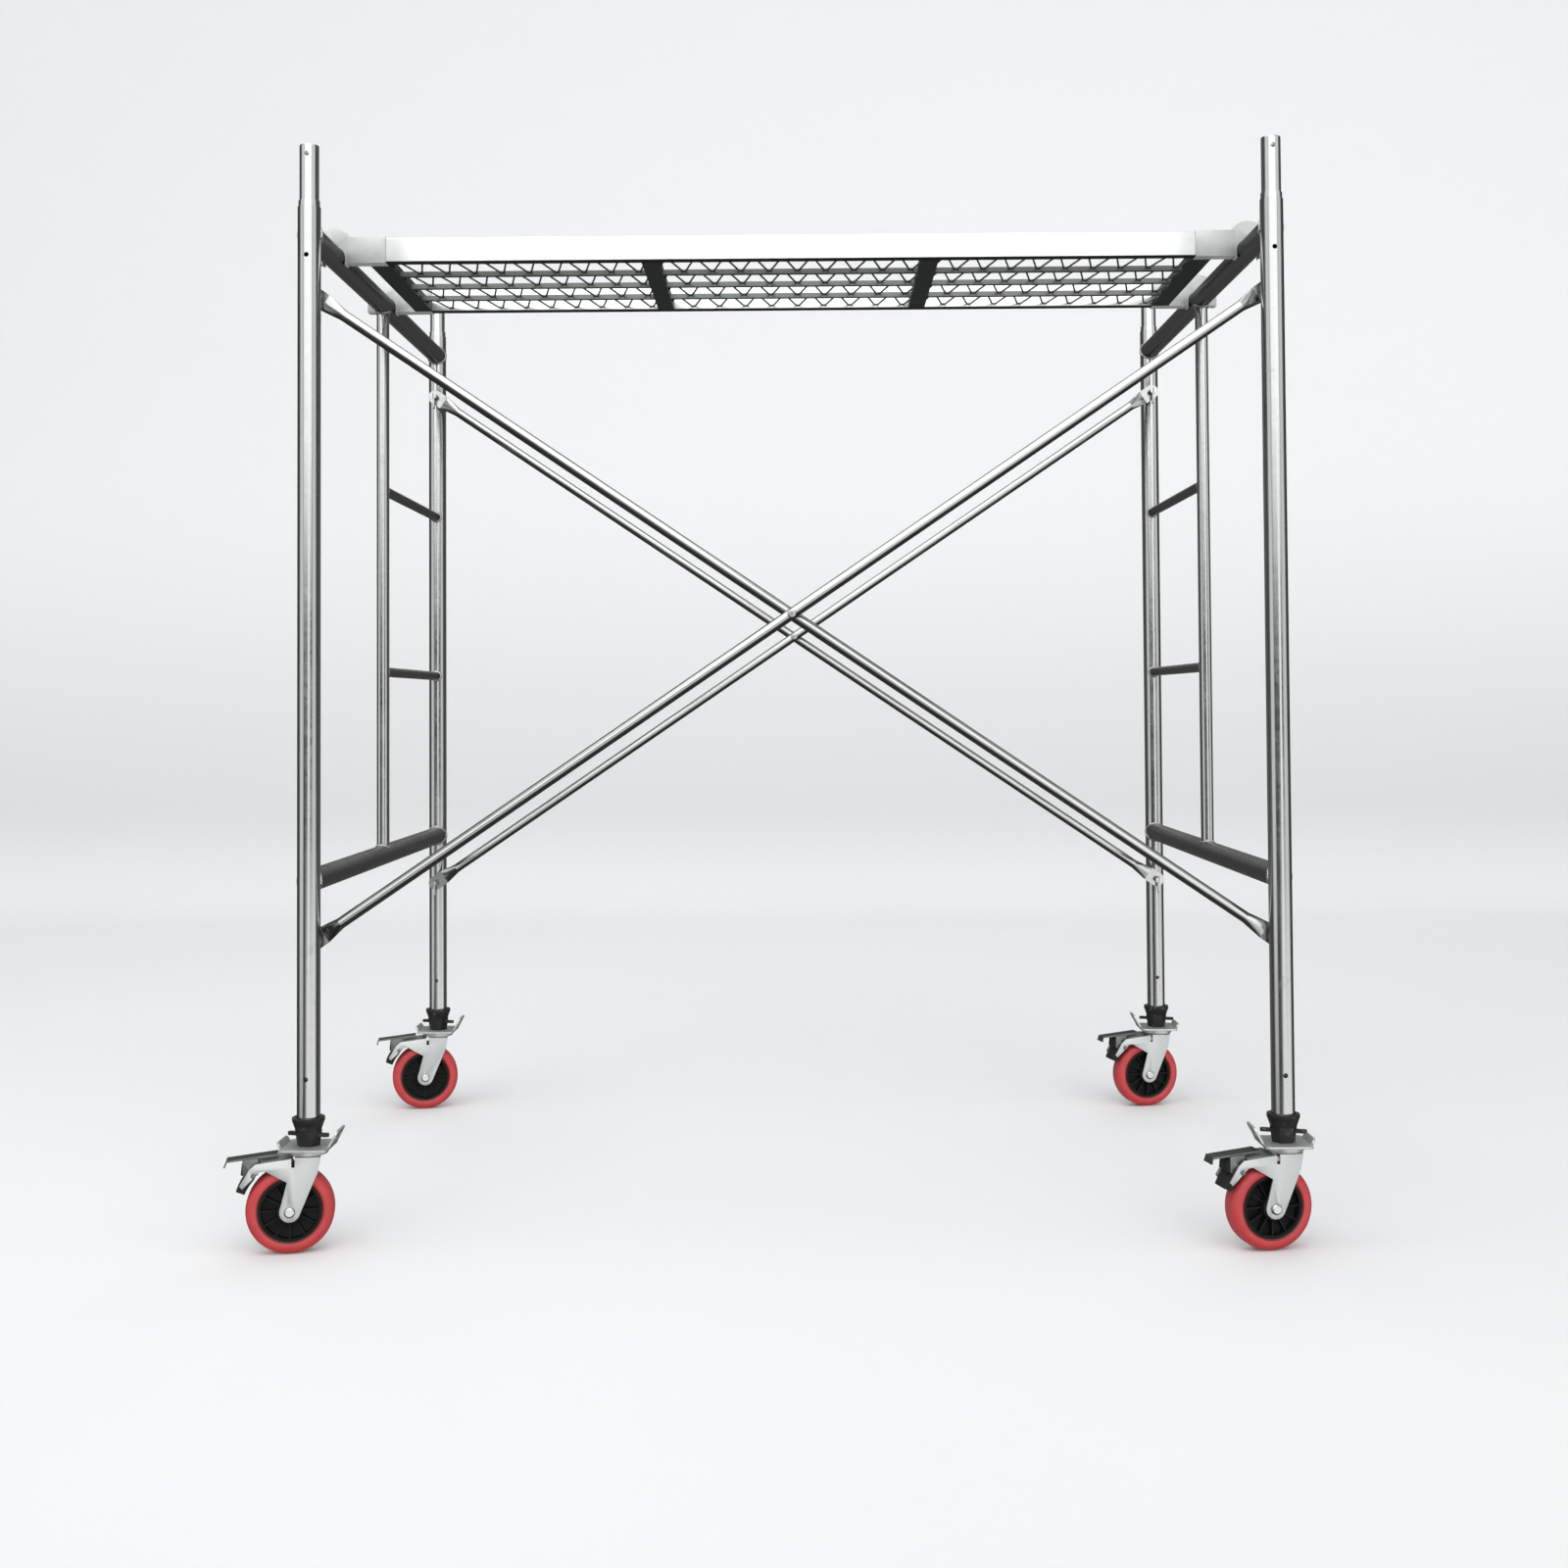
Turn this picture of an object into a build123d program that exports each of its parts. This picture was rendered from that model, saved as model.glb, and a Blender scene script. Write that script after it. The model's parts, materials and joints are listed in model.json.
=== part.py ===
from build123d import *

import math
import os

# Rolling frame scaffold: two welded ladder frames, four crossed brace tubes, a hook-on grille
# deck and four braked swivel casters. Millimetres, +Z up. X runs along the bay, from the left
# frame to the right one, and Y runs from the near side to the far side. The origin is on the
# floor under the centre of the whole scaffold's bounding box.

# ---- Overall sizes -------------------------------------------------------------------------
BAY_LENGTH = 1800.0        # between the two frames' post axes
FRAME_WIDTH = 1219.0       # between the near and far post axes of one frame
POST_LENGTH = 1700.0       # from the post's lower end to its shoulder

# ---- Frame tubes ---------------------------------------------------------------------------
POST_D = 42.7
POST_WALL = 2.4
STILE_D = 27.2
STILE_WALL = 2.0
RUNG_D = 21.3
RUNG_WALL = 2.0
TRANSOM_DROP = 50.0        # shoulder down to the top tube's axis
CROSSBAR_RISE = 440.0      # post's lower end up to the lower crossbar's axis
RUNG_RISES = (840.0, 1240.0)
LOCK_HOLE_D = 9.0
LOCK_HOLE_RISE = 78.0      # post's lower end up to its lower cross hole
LOCK_HOLE_DROP = 93.0      # shoulder down to its upper cross hole

# ---- Coupling pins -------------------------------------------------------------------------
PIN_FIT = 0.95              # play between the pin and the post's bore
PIN_D = POST_D - 2 * (POST_WALL + PIN_FIT)
PIN_WALL = 2.5
PIN_STAND = 117.0          # above the shoulder
PIN_INSERT = 115.0         # below the shoulder, inside the post
PIN_COLLAR_OVERLAP = 0.8    # collar's seat on the post's end
PIN_COLLAR_D = POST_D - 2 * (POST_WALL - PIN_COLLAR_OVERLAP)
PIN_COLLAR_HEIGHT = 12.0
PIN_HOLE_DROP = 19.0       # pin's top down to its cross hole
PIN_EDGE = 2.0

# ---- Cross braces --------------------------------------------------------------------------
STUD_RISE = 323.0          # post's lower end up to the lower brace studs
STUD_SPACING = 1219.0      # lower stud to upper stud
STUD_D = 14.0
STUD_LENGTH = 32.0
STUD_SEAT_D = 22.0
BRACE_D = 21.3
BRACE_WALL = 1.9
BRACE_SEAT_GAP = 9.0       # post face to the middle of the braces' flattened ends
BRACE_GAP = 0.6            # between the two tubes where they cross
BRACE_EYE_WIDTH = 34.0
BRACE_EYE_THICKNESS = 3.8
BRACE_EYE_CLEARANCE = 0.6  # radial, eye over stud
BRACE_FLAT_LENGTH = 26.0   # stud to the start of the squashed stretch
BRACE_SQUASH_LENGTH = 40.0
RIVET_D = 8.0
RIVET_HEAD_D = 16.0
RIVET_HEAD_HEIGHT = 4.0
RIVET_CLEARANCE = 0.1

# ---- Brace latches -------------------------------------------------------------------------
LATCH_THICKNESS = 3.0
LATCH_WIDTH = 12.0
LATCH_LENGTH = 32.0        # pivot down to the latch's tip
LATCH_INSET = 8.0          # stud's tip back to the pivot
LATCH_PIN_D = 4.0
LATCH_SIDE_CLEARANCE = 0.4
LATCH_END_CLEARANCE = 1.5

# ---- Deck ----------------------------------------------------------------------------------
DECK_WIDTH = 480.0
DECK_SETBACK = 180.0       # near posts' axis line to the deck's near edge
RAIL_WIDTH = 25.0
RAIL_HEIGHT = 48.0
RAIL_WALL = 2.0
RAIL_DROP = 10.0           # transom axis down to the rails' underside
RAIL_END_GAP = 50.0        # transom axis back to the rail's end, inside the hook's sleeve
BAR_WIDTH = 12.0
BAR_HEIGHT = 10.0
BAR_COUNT = 3
END_MEMBER_WIDTH = 38.0
END_MEMBER_HEIGHT = 20.0
END_MEMBER_GAP = 66.0      # transom axis back to the end member's outer face
CROSS_MEMBER_WIDTH = 35.0
CROSS_MEMBER_HEIGHT = 18.0
CROSS_MEMBER_OFFSET = 277.0
ZIGZAG_PITCH = 58.0
ZIGZAG_ROD = 4.0
ZIGZAG_RISE = 5.0          # bars' underside up to the zigzag rods' underside
DECK_FIT = 0.2

# ---- Deck hooks ----------------------------------------------------------------------------
HOOK_SLEEVE_LENGTH = 76.0
HOOK_SLEEVE_WALL = 1.8
HOOK_SLEEVE_FIT = 0.1
HOOK_SLEEVE_GAP = 27.0     # transom axis back to the sleeve's outer end
CLAW_RADIUS = 40.0
CLAW_RISE = 18.0           # transom axis up to the claw's own centre
CLAW_WIDTH = 24.0
CLAW_CLEARANCE = 0.3
CLAW_LIP_DROP = 12.0       # transom axis down to the outer lip's end

# ---- Casters -------------------------------------------------------------------------------
WHEEL_D = 160.0
WHEEL_WIDTH = 46.0
TYRE_DEPTH = 23.0
TYRE_EDGE = 11.0
CASTER_TRAIL = 32.0        # swivel axis back to the axle
CASTER_YAW = 12.0          # how far each fork is turned from the bay's line
FORK_SIDE_GAP = 5.5        # wheel's side to the fork's inner face
FORK_SHEET = 4.0
FORK_HEADROOM = 20.0       # wheel's top to the crown's top
FORK_END_R = 18.5
FORK_BEND = 5.0
AXLE_D = 12.0
AXLE_HEAD_D = 20.0
AXLE_HEAD_HEIGHT = 6.0
RUNNING_FIT = 0.05         # radial
HUB_RIM = 5.0
HUB_BOSS_D = 44.0
HUB_END_GAP = 1.0          # boss's end to the fork's inner face
HUB_WEB = 8.0
HUB_RIB_COUNT = 12
HUB_RIB = 3.0
HUB_RECESS = 3.0
RACE_D = 72.0
RACE_HEIGHT = 10.0
SWIVEL_GAP = 0.3
PLATE_SIZE = 96.0
PLATE_SHEET = 4.0
PLATE_CORNER_R = 8.0
EAR_WIDTH = 62.0
EAR_HEIGHT = 38.0          # the upturned ear on the side towards the bay
LIP_HEIGHT = 16.0          # the upturned lip on the outer side
EAR_LEAN = 28.0
EAR_HOLE_D = 9.0
EAR_HOLE_SPACING = 30.0
STEM_FIT = 0.3
STEM_INSERT = 120.0
KING_PIN_D = 16.0
KING_NUT_D = 26.0
KING_NUT_HEIGHT = 9.0
STEM_NUT_D = 37.0          # across the flats at its foot
STEM_NUT_HEIGHT = 29.0
STEM_NUT_FLARE = 7.0       # degrees
NUT_WING_REACH = 42.0
NUT_WING_WIDTH = 12.0
NUT_WING_THICKNESS = 6.0
NUT_WING_RISE = 17.0       # nut's foot up to its wings
NUT_WING_TURN = -15.0      # degrees from the bay's line
COLLAR_D = 60.0
COLLAR_LIP = 6.0
COLLAR_HEIGHT = 17.0
COLLAR_TAPER = 6.0
POST_SEAT_FIT = 0.3

# ---- Caster brakes, measured from the swivel axis and down from the crown's top ------------
BRAKE_PIVOT_BACK = 96.0
BRAKE_PIVOT_DROP = 31.0
BRAKE_PIN_D = 8.0
BRAKE_SHEET = 3.0
BRAKE_PIN_END = 3.0        # how far the pivot pin stands out of the fork
PEDAL_WIDTH = 34.0
PEDAL_INNER_BACK = 55.0
PEDAL_TIP_BACK = 146.0
PEDAL_RISE = 1.0           # inner end above the crown's top
PEDAL_SLOPE = 0.1          # fall towards the tip
PEDAL_LIP = 9.0
SHOE_GAP = 7.0
SHOE_DEPTH = 17.0
SHOE_FROM_PIVOT = 3.0      # degrees round the axle, from the pivot to the shoe's upper end
SHOE_SPAN = 22.0
SHOE_WIDTH = 40.0
SHOE_BLOCK = (17.0, 22.0)
SHOE_BLOCK_BACK = 14.0     # pivot back to the block's middle
SHOE_BLOCK_RISE = 9.5
SHOE_BLOCK_TILT = -6.0

# ---- Places that follow from the sizes above -----------------------------------------------
os.makedirs("parts", exist_ok=True)
BASE = (Align.CENTER, Align.CENTER, Align.MIN)
YAW = math.radians(CASTER_YAW)
EAR_REACH = PLATE_SIZE / 2 + LIP_HEIGHT * math.sin(math.radians(EAR_LEAN))
PEDAL_REACH = (PEDAL_LIP / 2 + PEDAL_TIP_BACK) * math.cos(YAW) + PEDAL_WIDTH / 2 * math.sin(YAW)
BAY_X = (PEDAL_REACH - EAR_REACH) / 2
FRAME_X = {"left": BAY_X - BAY_LENGTH / 2, "right": BAY_X + BAY_LENGTH / 2}
POST_Y = {"near": -FRAME_WIDTH / 2, "far": FRAME_WIDTH / 2}
INWARD = {"near": 1.0, "far": -1.0}
TOWARDS_BAY = {"left": 1.0, "right": -1.0}
CORNERS = [(row, side) for side in FRAME_X for row in POST_Y]
WHEEL_R = WHEEL_D / 2
TYRE_INNER_R = WHEEL_R - TYRE_DEPTH
FORK_GAP = WHEEL_WIDTH + 2 * FORK_SIDE_GAP
FORK_TOP = WHEEL_D + FORK_HEADROOM
AXLE = (-CASTER_TRAIL, WHEEL_R)
BRAKE_PIVOT = (-BRAKE_PIVOT_BACK, FORK_TOP - BRAKE_PIVOT_DROP)
PLATE_UNDERSIDE = FORK_TOP + RACE_HEIGHT
PLATE_TOP = PLATE_UNDERSIDE + PLATE_SHEET
COLLAR_BOTTOM = PLATE_TOP + STEM_NUT_HEIGHT
POST_BOTTOM = COLLAR_BOTTOM + COLLAR_HEIGHT
SHOULDER = POST_BOTTOM + POST_LENGTH
TRANSOM_Z = SHOULDER - TRANSOM_DROP
CROSSBAR_Z = POST_BOTTOM + CROSSBAR_RISE
STUD_Z = {"lower": POST_BOTTOM + STUD_RISE, "upper": POST_BOTTOM + STUD_RISE + STUD_SPACING}
RAIL_Z = TRANSOM_Z - RAIL_DROP
DECK_NEAR_Y = -FRAME_WIDTH / 2 + DECK_SETBACK
DECK_FAR_Y = DECK_NEAR_Y + DECK_WIDTH


# ---- Shared shapes -------------------------------------------------------------------------
def save(builder, label):
    """Label a finished piece and write its STEP file."""
    builder.part.label = label
    export_step(builder.part, f"parts/{label}.step")


def rod(start, end, radius, mode=Mode.ADD):
    """Round bar between two points, in the part being built."""
    span = Vector(*end) - Vector(*start)
    with Locations(Plane(origin=start, z_dir=span).location):
        Cylinder(radius, span.length, align=BASE, mode=mode)


def block(low, high, mode=Mode.ADD):
    """Box between two opposite corners, in the part being built."""
    size = [b - a for a, b in zip(low, high)]
    centre = [(a + b) / 2 for a, b in zip(low, high)]
    with Locations(tuple(centre)):
        Box(*size, mode=mode)


def post_line(x, y):
    """The axis of one post, as a start and an end."""
    return (x, y, POST_BOTTOM), (x, y, SHOULDER)


def coped_tube(start, end, outer_d, wall, hosts):
    """Tube between two axes, its ends cut to the round of the tubes it is welded to."""
    with BuildPart() as tube:
        rod(start, end, outer_d / 2)
        rod(start, end, outer_d / 2 - wall, mode=Mode.SUBTRACT)
        for host_line, host_d in hosts:
            rod(*host_line, host_d / 2, mode=Mode.SUBTRACT)
    return tube


# ---- Welded frames -------------------------------------------------------------------------
def make_post(x, y):
    """Upright tube with a cross hole near each end."""
    with BuildPart() as post:
        rod(*post_line(x, y), POST_D / 2)
        rod(*post_line(x, y), POST_D / 2 - POST_WALL, mode=Mode.SUBTRACT)
        for height in (POST_BOTTOM + LOCK_HOLE_RISE, SHOULDER - LOCK_HOLE_DROP):
            rod((x, y - POST_D, height), (x, y + POST_D, height), LOCK_HOLE_D / 2, Mode.SUBTRACT)
    return post


for row, side in CORNERS:
    save(make_post(FRAME_X[side], POST_Y[row]), f"{row}_{side}_post")

for side, x in FRAME_X.items():
    posts = [(post_line(x, y), POST_D) for y in POST_Y.values()]
    for name, z in (("transom", TRANSOM_Z), ("crossbar", CROSSBAR_Z)):
        ends = [(x, y, z) for y in POST_Y.values()]
        save(coped_tube(*ends, POST_D, POST_WALL, posts), f"{side}_{name}")

with BuildPart() as centre_stiles:
    for x in FRAME_X.values():
        rod((x, 0, CROSSBAR_Z), (x, 0, TRANSOM_Z), STILE_D / 2)
        rod((x, 0, CROSSBAR_Z), (x, 0, TRANSOM_Z), STILE_D / 2 - STILE_WALL, Mode.SUBTRACT)
        for z in (CROSSBAR_Z, TRANSOM_Z):
            rod((x, POST_Y["near"], z), (x, POST_Y["far"], z), POST_D / 2, Mode.SUBTRACT)
save(centre_stiles, "centre_stiles")

with BuildPart() as rungs:
    for x in FRAME_X.values():
        for rise in RUNG_RISES:
            ends = (x, 0, POST_BOTTOM + rise), (x, POST_Y["far"], POST_BOTTOM + rise)
            rod(*ends, RUNG_D / 2)
            rod(*ends, RUNG_D / 2 - RUNG_WALL, Mode.SUBTRACT)
        rod((x, 0, CROSSBAR_Z), (x, 0, TRANSOM_Z), STILE_D / 2, Mode.SUBTRACT)
        rod(*post_line(x, POST_Y["far"]), POST_D / 2, Mode.SUBTRACT)
save(rungs, "rungs")

with BuildPart() as coupling_pins:
    for row, side in CORNERS:
        with Locations((FRAME_X[side], POST_Y[row], SHOULDER - PIN_INSERT)):
            Cylinder(PIN_D / 2, PIN_INSERT + PIN_STAND, align=BASE)
    tips = coupling_pins.faces().filter_by(Axis.Z).group_by(Axis.Z)[-1].edges()
    fillet(tips, PIN_EDGE)
    for row, side in CORNERS:
        x, y = FRAME_X[side], POST_Y[row]
        with Locations((x, y, SHOULDER)):
            Cylinder(PIN_COLLAR_D / 2, PIN_COLLAR_HEIGHT, align=BASE)
        rod((x, y, SHOULDER - PIN_INSERT), (x, y, SHOULDER + PIN_STAND), PIN_D / 2 - PIN_WALL,
            Mode.SUBTRACT)
        for height in (SHOULDER + PIN_STAND - PIN_HOLE_DROP, SHOULDER - LOCK_HOLE_DROP):
            rod((x, y - PIN_D, height), (x, y + PIN_D, height), LOCK_HOLE_D / 2, Mode.SUBTRACT)
save(coupling_pins, "coupling_pins")

# ---- Brace studs and their latches ---------------------------------------------------------
with BuildPart() as brace_studs:
    for row, side in CORNERS:
        x, y, inward = FRAME_X[side], POST_Y[row], INWARD[row]
        face_y = y + inward * POST_D / 2
        tip_y = face_y + inward * STUD_LENGTH
        seat_y = face_y + inward * (BRACE_SEAT_GAP - BRACE_EYE_THICKNESS / 2)
        slot_y = tip_y - inward * (LATCH_INSET + LATCH_WIDTH / 2 + LATCH_END_CLEARANCE)
        slot_half = LATCH_THICKNESS / 2 + LATCH_SIDE_CLEARANCE
        for z in STUD_Z.values():
            rod((x, y, z), (x, tip_y, z), STUD_D / 2)
            rod((x, y, z), (x, seat_y, z), STUD_SEAT_D / 2)
            block((x - slot_half, min(slot_y, tip_y), z - STUD_D),
                  (x + slot_half, max(slot_y, tip_y), z + STUD_D), Mode.SUBTRACT)
            pivot_y = tip_y - inward * LATCH_INSET
            rod((x - STUD_D, pivot_y, z), (x + STUD_D, pivot_y, z),
                LATCH_PIN_D / 2 + RUNNING_FIT, Mode.SUBTRACT)
        rod(*post_line(x, y), POST_D / 2, Mode.SUBTRACT)
save(brace_studs, "brace_studs")


def make_latch(x, pivot_y, z):
    """Drop latch that hangs from a cross pin in the slot at a stud's tip."""
    with BuildPart() as latch:
        with BuildSketch(Plane(origin=(x, pivot_y, z), x_dir=(0, 1, 0), z_dir=(1, 0, 0))):
            Circle(LATCH_WIDTH / 2)
            with Locations((0, -LATCH_LENGTH / 2)):
                Rectangle(LATCH_WIDTH, LATCH_LENGTH)
        extrude(amount=LATCH_THICKNESS / 2, both=True)
        lower = latch.edges().filter_by(Axis.X).sort_by(Axis.Z)[:2]
        fillet(lower, LATCH_WIDTH / 3)
        pin_half = STUD_D / 2 - LATCH_PIN_D / 4
        rod((x - pin_half, pivot_y, z), (x + pin_half, pivot_y, z), LATCH_PIN_D / 2)
    return latch


for row, side in CORNERS:
    reach = INWARD[row] * (POST_D / 2 + STUD_LENGTH - LATCH_INSET)
    for level, z in STUD_Z.items():
        latch = make_latch(FRAME_X[side], POST_Y[row] + reach, z)
        save(latch, f"{row}_{side}_{level}_latch")


# ---- Cross braces --------------------------------------------------------------------------
def make_brace(row, rises, lift):
    """Tube with squashed eyes; its axis is offset by lift from the plane of the eyes."""
    plane_y = POST_Y[row] + INWARD[row] * (POST_D / 2 + BRACE_SEAT_GAP)
    half_rise = STUD_SPACING / 2 * rises
    along = Vector(BAY_LENGTH / 2, 0, half_rise)
    half_span = along.length
    middle = Plane(
        origin=(BAY_X, plane_y, (STUD_Z["lower"] + STUD_Z["upper"]) / 2),
        x_dir=along,
        z_dir=(0, -1, 0),
    )
    squash_end = half_span - BRACE_FLAT_LENGTH
    squash_start = squash_end - BRACE_SQUASH_LENGTH
    with BuildPart() as brace:
        with BuildSketch(Plane(origin=middle.from_local_coords((0, 0, lift)), z_dir=along)):
            Circle(BRACE_D / 2)
            Circle(BRACE_D / 2 - BRACE_WALL, mode=Mode.SUBTRACT)
        extrude(amount=squash_start, both=True)
        for end in (-1, 1):
            across = middle.z_dir
            round_at = middle.from_local_coords((end * squash_start, 0, lift))
            flat_at = middle.from_local_coords((end * squash_end, 0, 0))
            with BuildSketch(Plane(origin=round_at, x_dir=across, z_dir=along)) as round_end:
                Circle(BRACE_D / 2)
            with BuildSketch(Plane(origin=flat_at, x_dir=across, z_dir=along)) as flat_end:
                Ellipse(BRACE_EYE_THICKNESS / 2, BRACE_EYE_WIDTH / 2)
            loft()
            with BuildSketch(middle.offset(-BRACE_EYE_THICKNESS / 2)):
                with Locations((end * half_span, 0)):
                    Circle(BRACE_EYE_WIDTH / 2)
                with Locations((end * (half_span + squash_end) / 2, 0)):
                    Rectangle(BRACE_FLAT_LENGTH, BRACE_EYE_WIDTH)
                with Locations((end * half_span, 0)):
                    Circle(STUD_D / 2 + BRACE_EYE_CLEARANCE, mode=Mode.SUBTRACT)
            extrude(amount=BRACE_EYE_THICKNESS)
        with BuildSketch(middle):
            Circle(RIVET_D / 2 + RIVET_CLEARANCE)
        extrude(amount=BRACE_D + BRACE_GAP, both=True, mode=Mode.SUBTRACT)
    return brace


BRACE_LIFT = (BRACE_D + BRACE_GAP) / 2
for row in POST_Y:
    save(make_brace(row, 1, BRACE_LIFT), f"{row}_rising_brace")
    save(make_brace(row, -1, -BRACE_LIFT), f"{row}_falling_brace")

with BuildPart() as brace_rivets:
    for row in POST_Y:
        y = POST_Y[row] + INWARD[row] * (POST_D / 2 + BRACE_SEAT_GAP)
        z = (STUD_Z["lower"] + STUD_Z["upper"]) / 2
        reach = BRACE_D + BRACE_GAP / 2
        rod((BAY_X, y - reach, z), (BAY_X, y + reach, z), RIVET_D / 2)
        for out in (-1, 1):
            rod((BAY_X, y + out * reach, z), (BAY_X, y + out * (reach + RIVET_HEAD_HEIGHT), z),
                RIVET_HEAD_D / 2)
    heads = brace_rivets.faces().filter_by(Axis.Y).filter_by(GeomType.PLANE)
    rims = [f.edges() for f in heads if abs(f.area - math.pi * RIVET_HEAD_D**2 / 4) < 1]
    fillet([edge for group in rims for edge in group], RIVET_HEAD_HEIGHT * 0.7)
save(brace_rivets, "brace_rivets")

# ---- Deck ----------------------------------------------------------------------------------
RAIL_HALF = BAY_LENGTH / 2 - RAIL_END_GAP
END_OUTER = BAY_LENGTH / 2 - END_MEMBER_GAP
END_INNER = END_OUTER - END_MEMBER_WIDTH
STRIP = (DECK_WIDTH - 2 * RAIL_WIDTH - BAR_COUNT * BAR_WIDTH) / (BAR_COUNT + 1)
BAR_Y = [DECK_NEAR_Y + RAIL_WIDTH + (STRIP + BAR_WIDTH) * (i + 1) - BAR_WIDTH / 2
         for i in range(BAR_COUNT)]

for row, y in (("near", DECK_NEAR_Y), ("far", DECK_FAR_Y - RAIL_WIDTH)):
    with BuildPart() as rail:
        block((BAY_X - RAIL_HALF, y, RAIL_Z), (BAY_X + RAIL_HALF, y + RAIL_WIDTH, RAIL_Z + RAIL_HEIGHT))
        fillet(rail.edges().filter_by(Axis.X), RAIL_WALL)
        block((BAY_X - RAIL_HALF, y + RAIL_WALL, RAIL_Z + RAIL_WALL),
              (BAY_X + RAIL_HALF, y + RAIL_WIDTH - RAIL_WALL, RAIL_Z + RAIL_HEIGHT - RAIL_WALL),
              Mode.SUBTRACT)
    save(rail, f"deck_{row}_rail")

with BuildPart() as deck_end_members:
    for end in (-1, 1):
        xs = sorted((BAY_X + end * END_INNER, BAY_X + end * END_OUTER))
        block((xs[0], DECK_NEAR_Y + RAIL_WIDTH, RAIL_Z),
              (xs[1], DECK_FAR_Y - RAIL_WIDTH, RAIL_Z + END_MEMBER_HEIGHT))
save(deck_end_members, "deck_end_members")

with BuildPart() as deck_cross_members:
    for end in (-1, 1):
        middle_x = BAY_X + end * CROSS_MEMBER_OFFSET
        block((middle_x - CROSS_MEMBER_WIDTH / 2, DECK_NEAR_Y + RAIL_WIDTH, RAIL_Z),
              (middle_x + CROSS_MEMBER_WIDTH / 2, DECK_FAR_Y - RAIL_WIDTH,
               RAIL_Z + CROSS_MEMBER_HEIGHT))
        for y in BAR_Y:
            half = BAR_WIDTH / 2 + DECK_FIT
            block((middle_x - CROSS_MEMBER_WIDTH, y - half, RAIL_Z - BAR_HEIGHT),
                  (middle_x + CROSS_MEMBER_WIDTH, y + half, RAIL_Z + BAR_HEIGHT), Mode.SUBTRACT)
save(deck_cross_members, "deck_cross_members")

with BuildPart() as deck_bearing_bars:
    for y in BAR_Y:
        block((BAY_X - END_INNER, y - BAR_WIDTH / 2, RAIL_Z),
              (BAY_X + END_INNER, y + BAR_WIDTH / 2, RAIL_Z + BAR_HEIGHT))
save(deck_bearing_bars, "deck_bearing_bars")


def zigzag_points(start, end, low, high):
    """Corners of a zigzag rod that starts and ends at half height between two bars."""
    turns = 2 * max(2, round((end - start) / ZIGZAG_PITCH))
    step = (end - start) / turns
    middle = (low + high) / 2
    points = [(start, middle)]
    points += [(start + step * (i + 0.5), (low, high)[i % 2]) for i in range(turns)]
    return points + [(end, middle)]


CROSS_INNER = CROSS_MEMBER_OFFSET - CROSS_MEMBER_WIDTH / 2
CROSS_OUTER = CROSS_MEMBER_OFFSET + CROSS_MEMBER_WIDTH / 2
BAYS = [(-END_INNER, -CROSS_OUTER), (-CROSS_INNER, CROSS_INNER), (CROSS_OUTER, END_INNER)]
with BuildPart() as deck_zigzags:
    for strip in range(BAR_COUNT + 1):
        low = DECK_NEAR_Y + RAIL_WIDTH + strip * (STRIP + BAR_WIDTH)
        high = low + STRIP
        for start, end in BAYS:
            with BuildSketch(Plane.XY.offset(RAIL_Z + ZIGZAG_RISE)):
                with BuildLine():
                    Polyline(*zigzag_points(BAY_X + start, BAY_X + end, low, high))
                trace(line_width=ZIGZAG_ROD)
                with Locations((BAY_X + (start + end) / 2, (low + high) / 2)):
                    Rectangle(end - start, STRIP, mode=Mode.INTERSECT)
            extrude(amount=ZIGZAG_ROD)
save(deck_zigzags, "deck_zigzags")

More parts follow.
